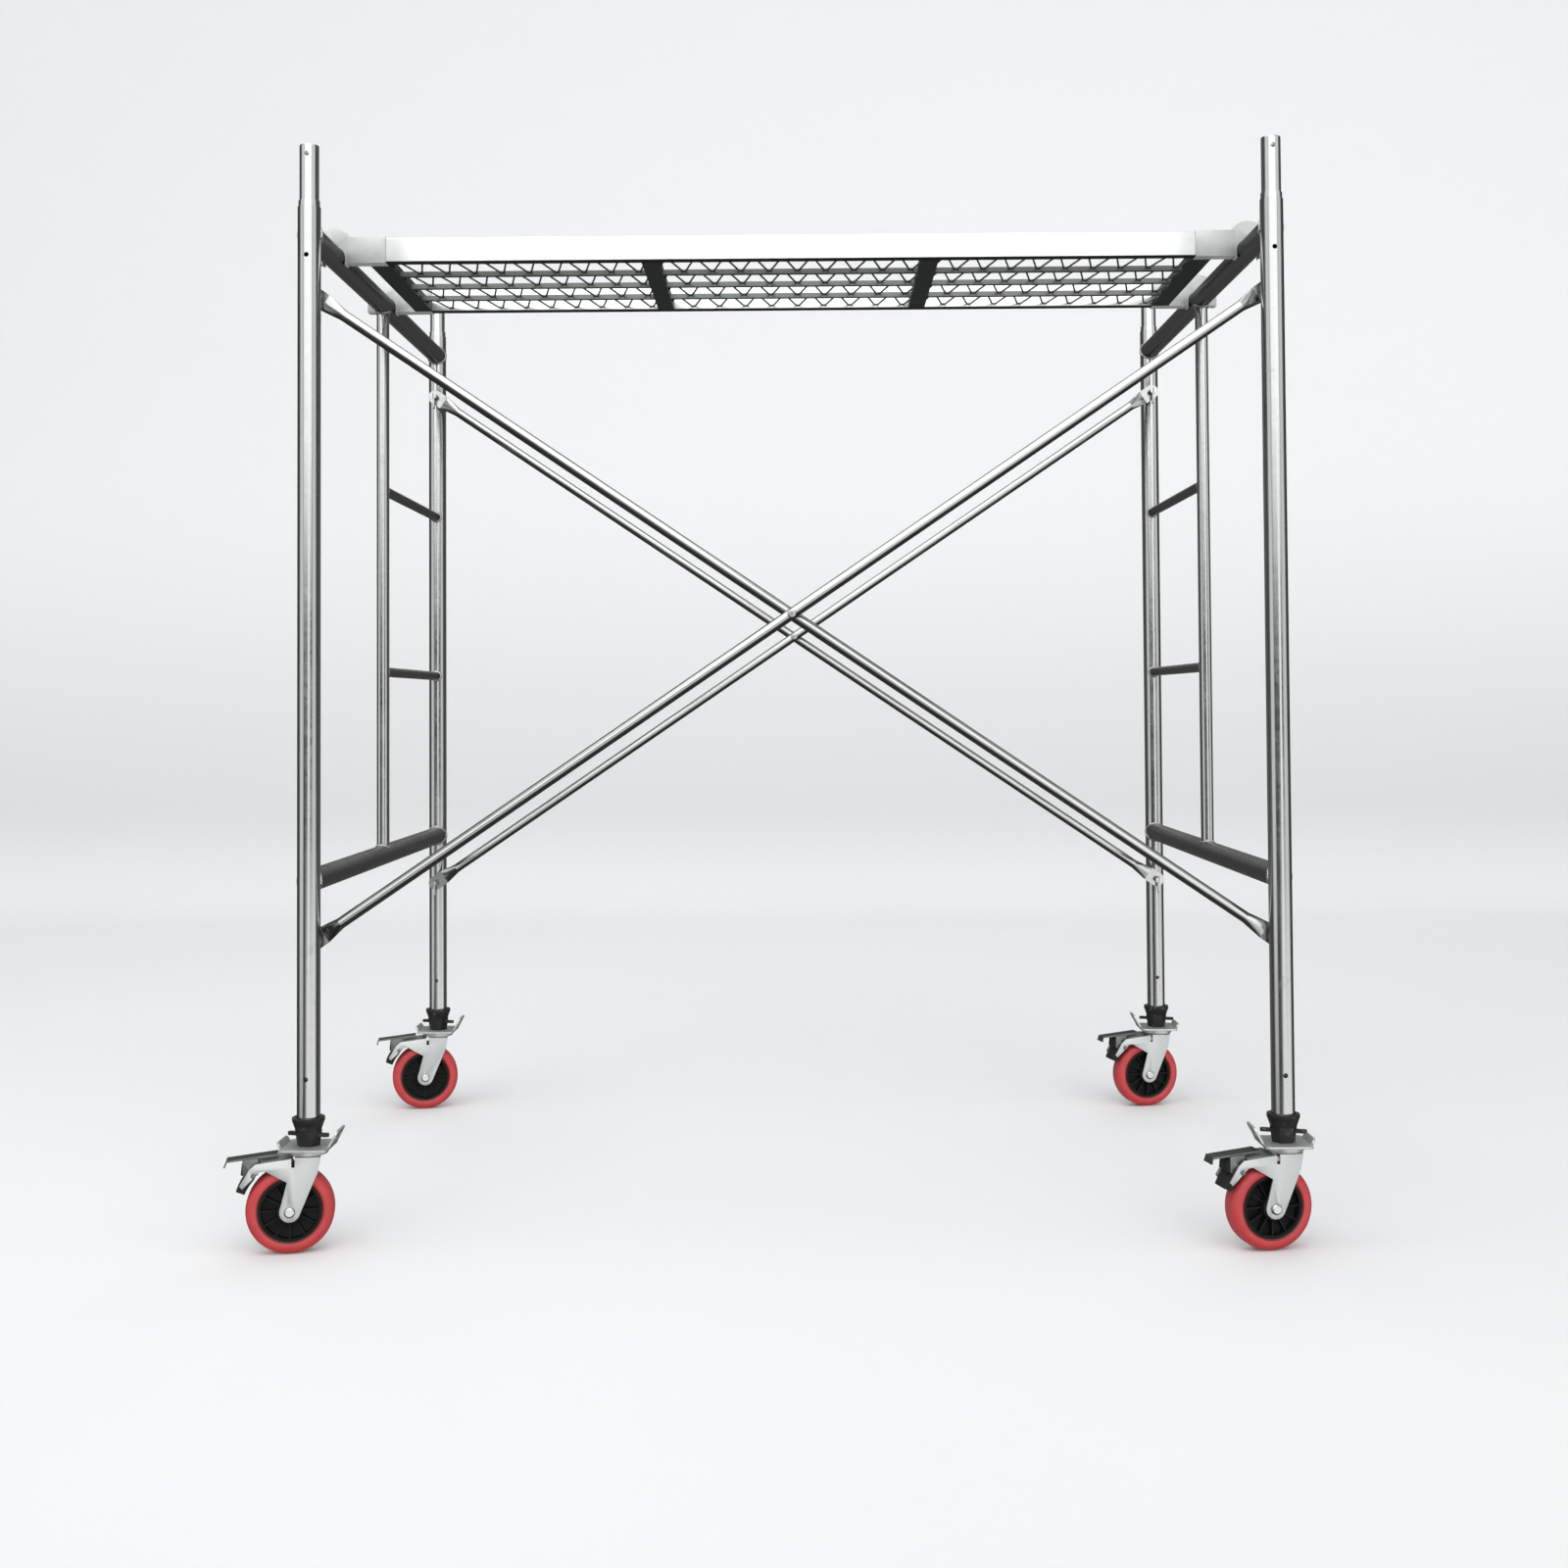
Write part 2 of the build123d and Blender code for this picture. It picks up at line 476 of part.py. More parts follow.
with BuildPart() as deck_hooks:
    for end in (-1, 1):
        axis_x = BAY_X + end * BAY_LENGTH / 2
        for y in (DECK_NEAR_Y + RAIL_WIDTH / 2, DECK_FAR_Y - RAIL_WIDTH / 2):
            outer_x = axis_x - end * HOOK_SLEEVE_GAP
            inner_x = outer_x - end * HOOK_SLEEVE_LENGTH
            grow = HOOK_SLEEVE_WALL + HOOK_SLEEVE_FIT
            xs = sorted((inner_x, outer_x))
            block((xs[0], y - RAIL_WIDTH / 2 - grow, RAIL_Z - grow),
                  (xs[1], y + RAIL_WIDTH / 2 + grow, RAIL_Z + RAIL_HEIGHT + grow))
            claw_z = TRANSOM_Z + CLAW_RISE
            rod((axis_x, y - CLAW_WIDTH / 2, claw_z), (axis_x, y + CLAW_WIDTH / 2, claw_z), CLAW_RADIUS)
            xs = sorted((outer_x, axis_x))
            block((xs[0], y - CLAW_WIDTH / 2, RAIL_Z),
                  (xs[1], y + CLAW_WIDTH / 2, RAIL_Z + RAIL_HEIGHT))
            xs = sorted((axis_x, axis_x + end * CLAW_RADIUS))
            block((xs[0], y - CLAW_WIDTH / 2, TRANSOM_Z - CLAW_LIP_DROP),
                  (xs[1], y + CLAW_WIDTH / 2, claw_z))
            throat = POST_D / 2 + CLAW_CLEARANCE
            rod((axis_x, y - CLAW_WIDTH, TRANSOM_Z), (axis_x, y + CLAW_WIDTH, TRANSOM_Z), throat,
                Mode.SUBTRACT)
            block((axis_x - throat, y - CLAW_WIDTH, TRANSOM_Z - 2 * CLAW_RADIUS),
                  (axis_x + throat, y + CLAW_WIDTH, TRANSOM_Z), Mode.SUBTRACT)
            pocket_x = sorted((inner_x, BAY_X + end * RAIL_HALF))
            fit = HOOK_SLEEVE_FIT
            block((pocket_x[0], y - RAIL_WIDTH / 2 - fit, RAIL_Z - fit),
                  (pocket_x[1], y + RAIL_WIDTH / 2 + fit, RAIL_Z + RAIL_HEIGHT + fit), Mode.SUBTRACT)
            member_x = sorted((BAY_X + end * END_INNER, BAY_X + end * END_OUTER))
            block((member_x[0] - fit, DECK_NEAR_Y + RAIL_WIDTH, RAIL_Z - fit),
                  (member_x[1] + fit, DECK_FAR_Y - RAIL_WIDTH, RAIL_Z + END_MEMBER_HEIGHT + fit),
                  Mode.SUBTRACT)
save(deck_hooks, "deck_hooks")


# ---- Casters: what is fixed to the frame ---------------------------------------------------
with BuildPart() as caster_stems:
    for row, side in CORNERS:
        x, y = FRAME_X[side], POST_Y[row]
        stem_r = POST_D / 2 - POST_WALL - STEM_FIT
        rod((x, y, POST_BOTTOM), (x, y, POST_BOTTOM + STEM_INSERT), stem_r)
        king_end = FORK_TOP - FORK_SHEET - KING_NUT_HEIGHT
        rod((x, y, king_end), (x, y, POST_BOTTOM), KING_PIN_D / 2)
        rod((x, y, king_end), (x, y, king_end + KING_NUT_HEIGHT - SWIVEL_GAP), KING_NUT_D / 2)
        height = POST_BOTTOM + LOCK_HOLE_RISE
        rod((x, y - POST_D, height), (x, y + POST_D, height), LOCK_HOLE_D / 2, Mode.SUBTRACT)
save(caster_stems, "caster_stems")

with BuildPart() as caster_collars:
    for row, side in CORNERS:
        x, y = FRAME_X[side], POST_Y[row]
        with Locations((x, y, COLLAR_BOTTOM)):
            Cone(COLLAR_D / 2 - COLLAR_TAPER, COLLAR_D / 2, COLLAR_HEIGHT, align=BASE)
        rod((x, y, POST_BOTTOM), (x, y, POST_BOTTOM + COLLAR_LIP), COLLAR_D / 2)
        rod((x, y, POST_BOTTOM), (x, y, POST_BOTTOM + COLLAR_LIP), POST_D / 2 + POST_SEAT_FIT,
            Mode.SUBTRACT)
        rod((x, y, COLLAR_BOTTOM), (x, y, POST_BOTTOM), KING_PIN_D / 2, Mode.SUBTRACT)
save(caster_collars, "caster_collars")

with BuildPart() as caster_stem_nuts:
    for row, side in CORNERS:
        x, y = FRAME_X[side], POST_Y[row]
        with BuildSketch(Plane(origin=(x, y, PLATE_TOP))):
            RegularPolygon(STEM_NUT_D / 2, 6, major_radius=False)
        extrude(amount=STEM_NUT_HEIGHT, taper=-STEM_NUT_FLARE)
        with BuildSketch(Plane(origin=(x, y, PLATE_TOP + NUT_WING_RISE))):
            SlotOverall(2 * NUT_WING_REACH, NUT_WING_WIDTH, rotation=NUT_WING_TURN)
        extrude(amount=NUT_WING_THICKNESS)
        rod((x, y, PLATE_TOP), (x, y, COLLAR_BOTTOM), KING_PIN_D / 2, Mode.SUBTRACT)
save(caster_stem_nuts, "caster_stem_nuts")


def ear_plane(x, y, out_x):
    """Leaning plane of an upturned ear whose root is the plate's edge on the out_x side."""
    lean = math.radians(EAR_LEAN)
    root = (x + out_x * (PLATE_SIZE / 2 - PLATE_SHEET), y, PLATE_UNDERSIDE)
    return Plane(
        origin=root,
        x_dir=(0, out_x, 0),
        z_dir=(out_x * math.cos(lean), 0, -math.sin(lean)),
    )


with BuildPart() as caster_top_plates:
    for row, side in CORNERS:
        x, y = FRAME_X[side], POST_Y[row]
        with BuildSketch(Plane(origin=(x, y, PLATE_UNDERSIDE))) as outline:
            Rectangle(PLATE_SIZE - 2 * PLATE_SHEET, PLATE_SIZE)
            fillet(outline.vertices(), PLATE_CORNER_R)
            Circle(KING_PIN_D / 2, mode=Mode.SUBTRACT)
        extrude(amount=PLATE_SHEET)
        for out_x, height in ((TOWARDS_BAY[side], EAR_HEIGHT), (-TOWARDS_BAY[side], LIP_HEIGHT)):
            with BuildSketch(ear_plane(x, y, out_x)) as ear:
                with Locations((0, height / 2)):
                    Rectangle(EAR_WIDTH, height)
                top_corners = ear.vertices().group_by(Axis.Z)[-1]
                fillet(top_corners, PLATE_CORNER_R)
                if height == EAR_HEIGHT:
                    with Locations((0, EAR_HEIGHT * 0.62)):
                        with GridLocations(EAR_HOLE_SPACING, 0, 2, 1):
                            Circle(EAR_HOLE_D / 2, mode=Mode.SUBTRACT)
            extrude(amount=-PLATE_SHEET)
        block((x - PLATE_SIZE, y - PLATE_SIZE, 0), (x + PLATE_SIZE, y + PLATE_SIZE, PLATE_UNDERSIDE),
              Mode.SUBTRACT)
save(caster_top_plates, "caster_top_plates")


# ---- Casters: what swivels -----------------------------------------------------------------
def caster_plane(row, side):
    """Upright plane through a caster's swivel axis: x forward along the fork, y up."""
    return Plane(
        origin=(FRAME_X[side], POST_Y[row], 0),
        x_dir=(math.cos(YAW), math.sin(YAW), 0),
        z_dir=(math.sin(YAW), -math.cos(YAW), 0),
    )


def tangent_from(point, turn):
    """Where the tangent from a point touches the fork's rounded end, on the side given by turn."""
    reach = Vector(point[0] - AXLE[0], point[1] - AXLE[1])
    swing = math.acos(FORK_END_R / reach.length)
    angle = math.atan2(reach.Y, reach.X) + turn * swing
    return AXLE[0] + FORK_END_R * math.cos(angle), AXLE[1] + FORK_END_R * math.sin(angle)


def make_fork(plane):
    """Pressed fork: crown, two slanted legs and the rear wings that carry the brake."""
    half_gap = FORK_GAP / 2
    top = FORK_TOP
    leg_front = (18, top - 30)
    leg_back = (-37, top - 46)
    with BuildPart() as fork:
        with BuildSketch(plane.offset(-half_gap - FORK_SHEET)):
            with BuildLine():
                Polyline(
                    (23, top), leg_front, tangent_from(leg_front, -1), tangent_from(leg_back, 1),
                    leg_back, (-76, top - 23), (-85, top - 24), (-116, top - 54), (-121, top - 48),
                    (-104, top - 20), (-93, top - 10), (-29, top - 3), (-29, top - 19),
                    (-23, top - 19), (-23, top), (23, top),
                )
            make_face()
            with Locations(AXLE):
                Circle(FORK_END_R)
                Circle(AXLE_D / 2 + RUNNING_FIT, mode=Mode.SUBTRACT)
            with Locations(BRAKE_PIVOT):
                Circle(BRAKE_PIN_D / 2 + RUNNING_FIT, mode=Mode.SUBTRACT)
        extrude(amount=FORK_GAP + 2 * FORK_SHEET)
        with BuildSketch(plane.offset(-half_gap)):
            with BuildLine():
                Polyline(
                    (PLATE_SIZE, top - FORK_SHEET), (PLATE_SIZE, 0), (-2 * WHEEL_D, 0),
                    (-2 * WHEEL_D, top), (-82, top), (-82, top - 13), (-29, top - 3 - FORK_SHEET),
                    (-29, top - FORK_SHEET), (PLATE_SIZE, top - FORK_SHEET),
                )
            make_face()
        extrude(amount=FORK_GAP, mode=Mode.SUBTRACT)
        crown_edges = fork.edges().filter_by(
            lambda e: e.center().Z > top - 0.1 and e.tangent_at(0.5).cross(plane.x_dir).length < 0.01
        )
        fillet(crown_edges, FORK_BEND)
        foot = plane.origin
        rod((foot.X, foot.Y, top), (foot.X, foot.Y, PLATE_UNDERSIDE - SWIVEL_GAP), RACE_D / 2)
        rod((foot.X, foot.Y, top - 2 * FORK_SHEET), (foot.X, foot.Y, PLATE_UNDERSIDE),
            KING_PIN_D / 2 + RUNNING_FIT, Mode.SUBTRACT)
    return fork


def make_axle(plane):
    """Bolt through the fork with a domed head on one side and a nut on the other."""
    half = FORK_GAP / 2 + FORK_SHEET
    with BuildPart() as axle:
        with BuildSketch(plane.offset(-half)):
            with Locations(AXLE):
                Circle(AXLE_D / 2)
        extrude(amount=2 * half)
        for start, out in ((half, 1), (-half, -1)):
            with BuildSketch(plane.offset(start)):
                with Locations(AXLE):
                    Circle(AXLE_HEAD_D / 2)
            extrude(amount=out * AXLE_HEAD_HEIGHT)
        rims = axle.edges().filter_by(GeomType.CIRCLE).filter_by(
            lambda e: abs(plane.to_local_coords(e.center()).Z) > half + AXLE_HEAD_HEIGHT / 2
        )
        fillet(rims, AXLE_HEAD_HEIGHT * 0.6)
    return axle


def make_tyre(plane):
    """Tyre ring with rounded shoulders, made whole round the hub."""
    half = WHEEL_WIDTH / 2
    with BuildPart() as tyre:
        with BuildSketch(plane.offset(-half)):
            with Locations(AXLE):
                Circle(WHEEL_R)
                Circle(TYRE_INNER_R, mode=Mode.SUBTRACT)
        extrude(amount=WHEEL_WIDTH)
        shoulders = tyre.edges().filter_by(GeomType.CIRCLE).filter_by(
            lambda e: abs(e.radius - WHEEL_R) < 0.01
        )
        fillet(shoulders, TYRE_EDGE)
    return tyre


def make_hub(plane):
    """Moulded wheel centre: rim, web, boss and radial ribs on both faces."""
    rim_half = WHEEL_WIDTH / 2 - HUB_RECESS
    boss_half = FORK_GAP / 2 - HUB_END_GAP
    rim_r = TYRE_INNER_R
    with BuildPart() as hub:
        with BuildSketch(plane.offset(-rim_half)):
            with Locations(AXLE):
                Circle(rim_r)
                Circle(rim_r - HUB_RIM, mode=Mode.SUBTRACT)
        extrude(amount=2 * rim_half)
        with BuildSketch(plane.offset(-HUB_WEB / 2)):
            with Locations(AXLE):
                Circle(rim_r - HUB_RIM / 2)
        extrude(amount=HUB_WEB)
        with BuildSketch(plane.offset(-rim_half + HUB_RECESS)):
            with Locations(AXLE):
                with PolarLocations((rim_r - HUB_RIM / 2 + HUB_BOSS_D / 4) / 2, HUB_RIB_COUNT):
                    Rectangle(rim_r - HUB_RIM / 2 - HUB_BOSS_D / 4, HUB_RIB)
        extrude(amount=2 * (rim_half - HUB_RECESS))
        with BuildSketch(plane.offset(-boss_half)):
            with Locations(AXLE):
                Circle(HUB_BOSS_D / 2)
        extrude(amount=2 * boss_half)
        with BuildSketch(plane.offset(-boss_half)):
            with Locations(AXLE):
                Circle(AXLE_D / 2 + RUNNING_FIT)
        extrude(amount=2 * boss_half, mode=Mode.SUBTRACT)
    return hub


def pedal_height(back, lift=0.0):
    """Height of the foot strip's underside at a distance behind the swivel axis."""
    return FORK_TOP + PEDAL_RISE - (back - PEDAL_INNER_BACK) * PEDAL_SLOPE + lift


def make_pedal(plane):
    """Brake lever: wide foot strip, two side arms and the pin that it turns on."""
    sheet = BRAKE_SHEET
    arm_half = SHOE_WIDTH / 2 + sheet
    pin_half = FORK_GAP / 2 + FORK_SHEET + BRAKE_PIN_END
    tip, inner = PEDAL_TIP_BACK, PEDAL_INNER_BACK
    pivot_x, pivot_z = BRAKE_PIVOT
    ahead, behind = BRAKE_PIVOT_BACK - 8, BRAKE_PIVOT_BACK + 20
    with BuildPart() as pedal:
        with BuildSketch(plane.offset(-PEDAL_WIDTH / 2)):
            with BuildLine():
                Polyline(
                    (-tip, pedal_height(tip)),
                    (-inner, pedal_height(inner)),
                    (-inner, pedal_height(inner, sheet)),
                    (-tip, pedal_height(tip, sheet)),
                    (-tip - PEDAL_LIP / 2, pedal_height(tip, -PEDAL_LIP)),
                    (-tip - PEDAL_LIP / 2 + sheet, pedal_height(tip, -PEDAL_LIP)),
                    (-tip, pedal_height(tip)),
                )
            make_face()
        extrude(amount=PEDAL_WIDTH)
        for start in (-arm_half, arm_half - sheet):
            with BuildSketch(plane.offset(start)):
                with BuildLine():
                    Polyline(
                        (-ahead, pivot_z),
                        (-ahead, pedal_height(ahead, -sheet / 2)),
                        (-behind, pedal_height(behind, -sheet / 2)),
                        (-behind, pivot_z),
                        (pivot_x - 12, pivot_z - 9),
                        (-ahead, pivot_z),
                    )
                make_face()
            extrude(amount=sheet)
        with BuildSketch(plane.offset(-arm_half)):
            with BuildLine():
                Polyline(
                    (-ahead, pedal_height(ahead, -sheet)),
                    (-behind, pedal_height(behind, -sheet)),
                    (-behind, pedal_height(behind, sheet / 3)),
                    (-ahead, pedal_height(ahead, sheet / 3)),
                    (-ahead, pedal_height(ahead, -sheet)),
                )
            make_face()
        extrude(amount=2 * arm_half)
        with BuildSketch(plane.offset(-pin_half)):
            with Locations(BRAKE_PIVOT):
                Circle(BRAKE_PIN_D / 2)
        extrude(amount=2 * pin_half)
    return pedal


def make_shoe(plane):
    """Rubber brake block whose curved face stands off the tyre."""
    inner = WHEEL_R + SHOE_GAP
    outer = inner + SHOE_DEPTH
    pivot_x, pivot_z = BRAKE_PIVOT
    pivot_angle = math.atan2(pivot_z - AXLE[1], pivot_x - AXLE[0])
    start = pivot_angle + math.radians(SHOE_FROM_PIVOT)
    end = start + math.radians(SHOE_SPAN)
    with BuildPart() as shoe:
        with BuildSketch(plane.offset(-SHOE_WIDTH / 2)):
            with Locations(AXLE):
                Circle(outer)
                Circle(inner, mode=Mode.SUBTRACT)
            with BuildLine():
                Polyline(
                    AXLE,
                    (AXLE[0] + 2 * outer * math.cos(start), AXLE[1] + 2 * outer * math.sin(start)),
                    (AXLE[0] + 2 * outer * math.cos(end), AXLE[1] + 2 * outer * math.sin(end)),
                    AXLE,
                )
            make_face(mode=Mode.INTERSECT)
            with Locations(Location((pivot_x - SHOE_BLOCK_BACK, pivot_z + SHOE_BLOCK_RISE), SHOE_BLOCK_TILT)):
                Rectangle(*SHOE_BLOCK)
            with Locations(BRAKE_PIVOT):
                Circle(BRAKE_PIN_D / 2, mode=Mode.SUBTRACT)
        extrude(amount=SHOE_WIDTH)
    return shoe


MAKERS = {
    "fork": make_fork,
    "axle": make_axle,
    "tyre": make_tyre,
    "hub": make_hub,
    "brake_pedal": make_pedal,
    "brake_shoe": make_shoe,
}
for row, side in CORNERS:
    plane = caster_plane(row, side)
    for name, make in MAKERS.items():
        save(make(plane), f"{row}_{side}_{name}")
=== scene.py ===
import json
import math

import bmesh
import bpy
from bpy.props import FloatProperty, FloatVectorProperty, IntProperty, PointerProperty
from mathutils import Matrix, Vector


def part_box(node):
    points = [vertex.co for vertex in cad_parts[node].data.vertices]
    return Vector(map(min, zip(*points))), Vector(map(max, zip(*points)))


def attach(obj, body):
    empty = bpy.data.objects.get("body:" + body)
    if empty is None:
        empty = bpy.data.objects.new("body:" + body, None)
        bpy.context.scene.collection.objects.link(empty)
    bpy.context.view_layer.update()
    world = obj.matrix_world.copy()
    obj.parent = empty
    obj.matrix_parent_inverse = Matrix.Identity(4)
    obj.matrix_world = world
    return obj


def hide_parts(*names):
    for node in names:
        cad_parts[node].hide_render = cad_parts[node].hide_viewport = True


bl_info = {
    "name": "Rolling Scaffold Finishes",
    "version": (1, 0, 0),
    "blender": (4, 5, 0),
    "location": "View3D > Sidebar > Scaffold",
    "description": "Welds, wires, wheels, sheet edges, finishes and a studio for a rolling scaffold",
    "category": "Object",
}

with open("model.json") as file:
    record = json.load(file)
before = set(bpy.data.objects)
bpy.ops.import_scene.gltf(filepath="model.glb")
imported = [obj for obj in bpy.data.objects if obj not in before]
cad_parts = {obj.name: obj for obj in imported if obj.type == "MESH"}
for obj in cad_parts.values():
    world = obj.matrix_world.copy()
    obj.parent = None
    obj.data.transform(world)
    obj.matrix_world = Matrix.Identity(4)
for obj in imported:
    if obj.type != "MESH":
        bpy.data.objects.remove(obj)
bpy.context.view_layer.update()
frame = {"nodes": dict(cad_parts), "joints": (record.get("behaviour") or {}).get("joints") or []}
NODES = frame["nodes"]
ROWS = ("near", "far")
SIDES = ("left", "right")
CORNERS = [f"{row}_{side}" for side in SIDES for row in ROWS]
UP = Vector((0, 0, 1))
ACROSS = Vector((0, 1, 0))


def centre(node):
    """Middle of a CAD node's box."""
    low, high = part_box(node)
    return (low + high) / 2


# ---- Sizes that the frame gives ----------------------------------------------------------------
POST = {corner: centre(f"{corner}_post") for corner in CORNERS}
POST_R = (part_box("near_left_post")[1].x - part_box("near_left_post")[0].x) / 2
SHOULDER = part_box("near_left_post")[1].z
# Radii that a shared box doesn't show.
STILE_R = 0.0136
RUNG_R = 0.01065
STUD_SEAT_R = 0.011
RUNG_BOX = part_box("rungs")
RUNG_HEIGHTS = (RUNG_BOX[0].z + RUNG_R, RUNG_BOX[1].z - RUNG_R)
TRANSOM_Z = centre("left_transom").z
CROSSBAR_Z = centre("left_crossbar").z
BAY_X = (POST["near_left"].x + POST["near_right"].x) / 2
WHEEL_AXIS = {
    joint["child"]: Vector(joint["axis"]).normalized()
    for joint in frame["joints"] if joint["name"].endswith("wheel_roll")
}


# ---- Node trees --------------------------------------------------------------------------------
class Wire:
    """An output socket in a node tree; sums written on it add Math nodes."""

    def __init__(self, graph, socket):
        self.graph = graph
        self.socket = socket

    def out(self, name):
        """Another output of the same node."""
        return Wire(self.graph, self.graph.find(self.socket.node.outputs, name))

    def maths(self, operation, *values):
        sockets = dict(enumerate(values))
        return self.graph.node("ShaderNodeMath", {"operation": operation}, sockets)

    def __add__(self, other):
        return self.maths("ADD", self, other)

    __radd__ = __add__

    def __sub__(self, other):
        return self.maths("SUBTRACT", self, other)

    def __rsub__(self, other):
        return self.maths("SUBTRACT", other, self)

    def __mul__(self, other):
        return self.maths("MULTIPLY", self, other)

    __rmul__ = __mul__

    def __truediv__(self, other):
        return self.maths("DIVIDE", self, other)


class Graph:
    """A node tree under construction."""

    def __init__(self, tree):
        self.tree = tree
        tree.nodes.clear()

    @staticmethod
    def find(sockets, key):
        if isinstance(key, int):
            return sockets[key]
        for socket in sockets:
            if socket.identifier == key:
                return socket
        return next(socket for socket in sockets if socket.name == key and socket.enabled)

    def node(self, kind, settings=None, sockets=None, out=0):
        """Adds a node, sets its settings, then its sockets' values or links."""
        made = self.tree.nodes.new(kind)
        for key, value in (settings or {}).items():
            setattr(made, key, value)
        for key, value in (sockets or {}).items():
            socket = self.find(made.inputs, key)
            if isinstance(value, Wire):
                self.tree.links.new(value.socket, socket)
            else:
                socket.default_value = value
        return Wire(self, self.find(made.outputs, out)) if made.outputs else made

    def mix(self, factor, first, second):
        """Mixes two colours."""
        sockets = {"Factor_Float": factor, "A_Color": first, "B_Color": second}
        return self.node("ShaderNodeMix", {"data_type": "RGBA"}, sockets, "Result_Color")

    def step(self, value, low, high, start=0.0, end=1.0):
        """Maps a value smoothly from low..high to start..end."""
        settings = {"interpolation_type": "SMOOTHSTEP"}
        sockets = {"Value": value, "From Min": low, "From Max": high, "To Min": start, "To Max": end}
        return self.node("ShaderNodeMapRange", settings, sockets)

    def noise(self, place, scale, detail=4.0, rough=0.55):
        sockets = {"Vector": place, "Scale": scale, "Detail": detail, "Roughness": rough}
        return self.node("ShaderNodeTexNoise", {}, sockets)

    def stretched(self, place, scale):
        """The same place with each axis scaled."""
        return self.node("ShaderNodeMapping", {"vector_type": "POINT"}, {"Vector": place, "Scale": scale})


def rgba(colour, gain=1.0):
    """A colour, made lighter or darker, with full alpha."""
    return (*(c * gain for c in colour), 1.0)


# ---- Finishes ----------------------------------------------------------------------------------
ZINC_RELIEF = 0.00004
# Noise scales of a drawn grain: small along the tube, large across it.
GRAIN_X, GRAIN_Y, GRAIN_Z = (1.2, 14, 14), (14, 1.2, 14), (14, 14, 1.2)
BRACE_GRAIN = (3, 14, 3)
PIN_GRAIN = (16, 16, 1.5)
PRESSED_GRAIN = (3, 3, 9)
EVEN_GRAIN = (4, 4, 4)
DECK_ZINC = (0.80, 0.81, 0.81)
WIRE_ZINC = (0.42, 0.43, 0.42)
PIN_ZINC = (0.52, 0.53, 0.53)
PLATE_ZINC = (0.56, 0.575, 0.57)
PEDAL_ZINC = (0.16, 0.165, 0.165)
CASTING = (0.46, 0.48, 0.465)
BLACK = (0.02, 0.021, 0.02)
# The crossing tubes take a lighter copy of the tube colour: painted light on their tops, with painted shade
# over their other faces.
CROSSING_GAIN = 1.2
GRILLE_GAIN = 1.6


def start_finish(name, **sockets):
    """A new material with a Principled shader; the sockets are the same all over."""
    material = bpy.data.materials.new(f"{name}_finish")
    material.use_nodes = True
    graph = Graph(material.node_tree)
    shader = graph.tree.nodes.new("ShaderNodeBsdfPrincipled")
    output = graph.tree.nodes.new("ShaderNodeOutputMaterial")
    graph.tree.links.new(shader.outputs[0], output.inputs["Surface"])
    for key, value in sockets.items():
        shader.inputs[key.replace("_", " ")].default_value = value
    place = graph.node("ShaderNodeTexCoord", out="Object")
    return material, graph, shader, place


def connect(graph, shader, colour, roughness, height, depth):
    """Feeds the shader's varying sockets; a roughness of None stays the same all over."""
    graph.tree.links.new(colour.socket, shader.inputs["Base Color"])
    if roughness is not None:
        graph.tree.links.new(roughness.socket, shader.inputs["Roughness"])
    bump = graph.node("ShaderNodeBump", {}, {"Height": height, "Distance": depth, "Strength": 1.0})
    graph.tree.links.new(bump.socket, shader.inputs["Normal"])


def zinc_finish(name, colour, rough, grain, shade, spangle=0.08, metallic=1.0,
                painted_shade_span=(-0.15, -0.8)):
    """Zinc coating: crystal spangle, drawn grain, pale oxide blooms, scuffs, and painted shade on faces
    turned away from up.

    As painted shade, a face darkens to the given share of its colour as its normal's height passes through
    the given span.
    """
    material, graph, shader, place = start_finish(
        name, Metallic=metallic, Specular_Tint=(0.35, 0.35, 0.35, 1))
    cells = graph.node("ShaderNodeTexVoronoi", {"feature": "F1"},
                       {"Vector": place, "Scale": 110.0, "Randomness": 1.0}, "Color")
    tone = graph.node("ShaderNodeSeparateColor", {}, {"Color": cells}, "Red")
    drawn = graph.noise(graph.stretched(place, grain), 60.0, 5.0, 0.6)
    cloud = graph.noise(place, 9.0, 5.0)
    bloom = graph.step(graph.noise(place, 23.0, 6.0, 0.65), 0.60, 0.74)
    scuff = graph.step(graph.noise(graph.stretched(place, (1, 1, 6)), 70.0, 3.0, 0.7), 0.66, 0.74)
    facing = graph.node("ShaderNodeTexCoord", out="Normal")
    down = graph.node("ShaderNodeSeparateXYZ", {}, {"Vector": facing}, "Z")
    # Painted shade mask: rises as the face's normal turns away from up through the given span.
    under = graph.step(down, *painted_shade_span)
    pale = tuple(min(1.0, c * 1.16) for c in colour)
    base = graph.mix((tone - 0.5) * spangle + (cloud - 0.5) * 0.9 + 0.35, rgba(colour), rgba(pale))
    base = graph.mix(bloom * 0.30, base, rgba(colour, 0.86))
    base = graph.mix(scuff * 0.35, base, rgba(colour, 0.62))
    # Painted shade: masked faces are darkened toward the given share of the colour.
    base = graph.mix(under, base, rgba(colour, shade))
    roughness = (cloud - 0.5) * 0.22 + (tone - 0.5) * 0.05 + bloom * 0.10 + scuff * 0.12 + rough
    height = drawn * 0.5 + tone * 0.12 + scuff * 0.5
    connect(graph, shader, base, roughness, height, ZINC_RELIEF)
    return material


def casting_finish(name, colour):
    """Pale die casting: fine granular skin with soft clouds."""
    material, graph, shader, place = start_finish(name, Metallic=0.55)
    cloud = graph.noise(place, 18.0, 5.0)
    skin = graph.noise(place, 900.0, 3.0, 0.7)
    base = graph.mix(graph.step(cloud, 0.35, 0.7), rgba(colour), rgba(colour, 0.84))
    connect(graph, shader, base, cloud * 0.18 + 0.36, skin, 0.00025)
    return material


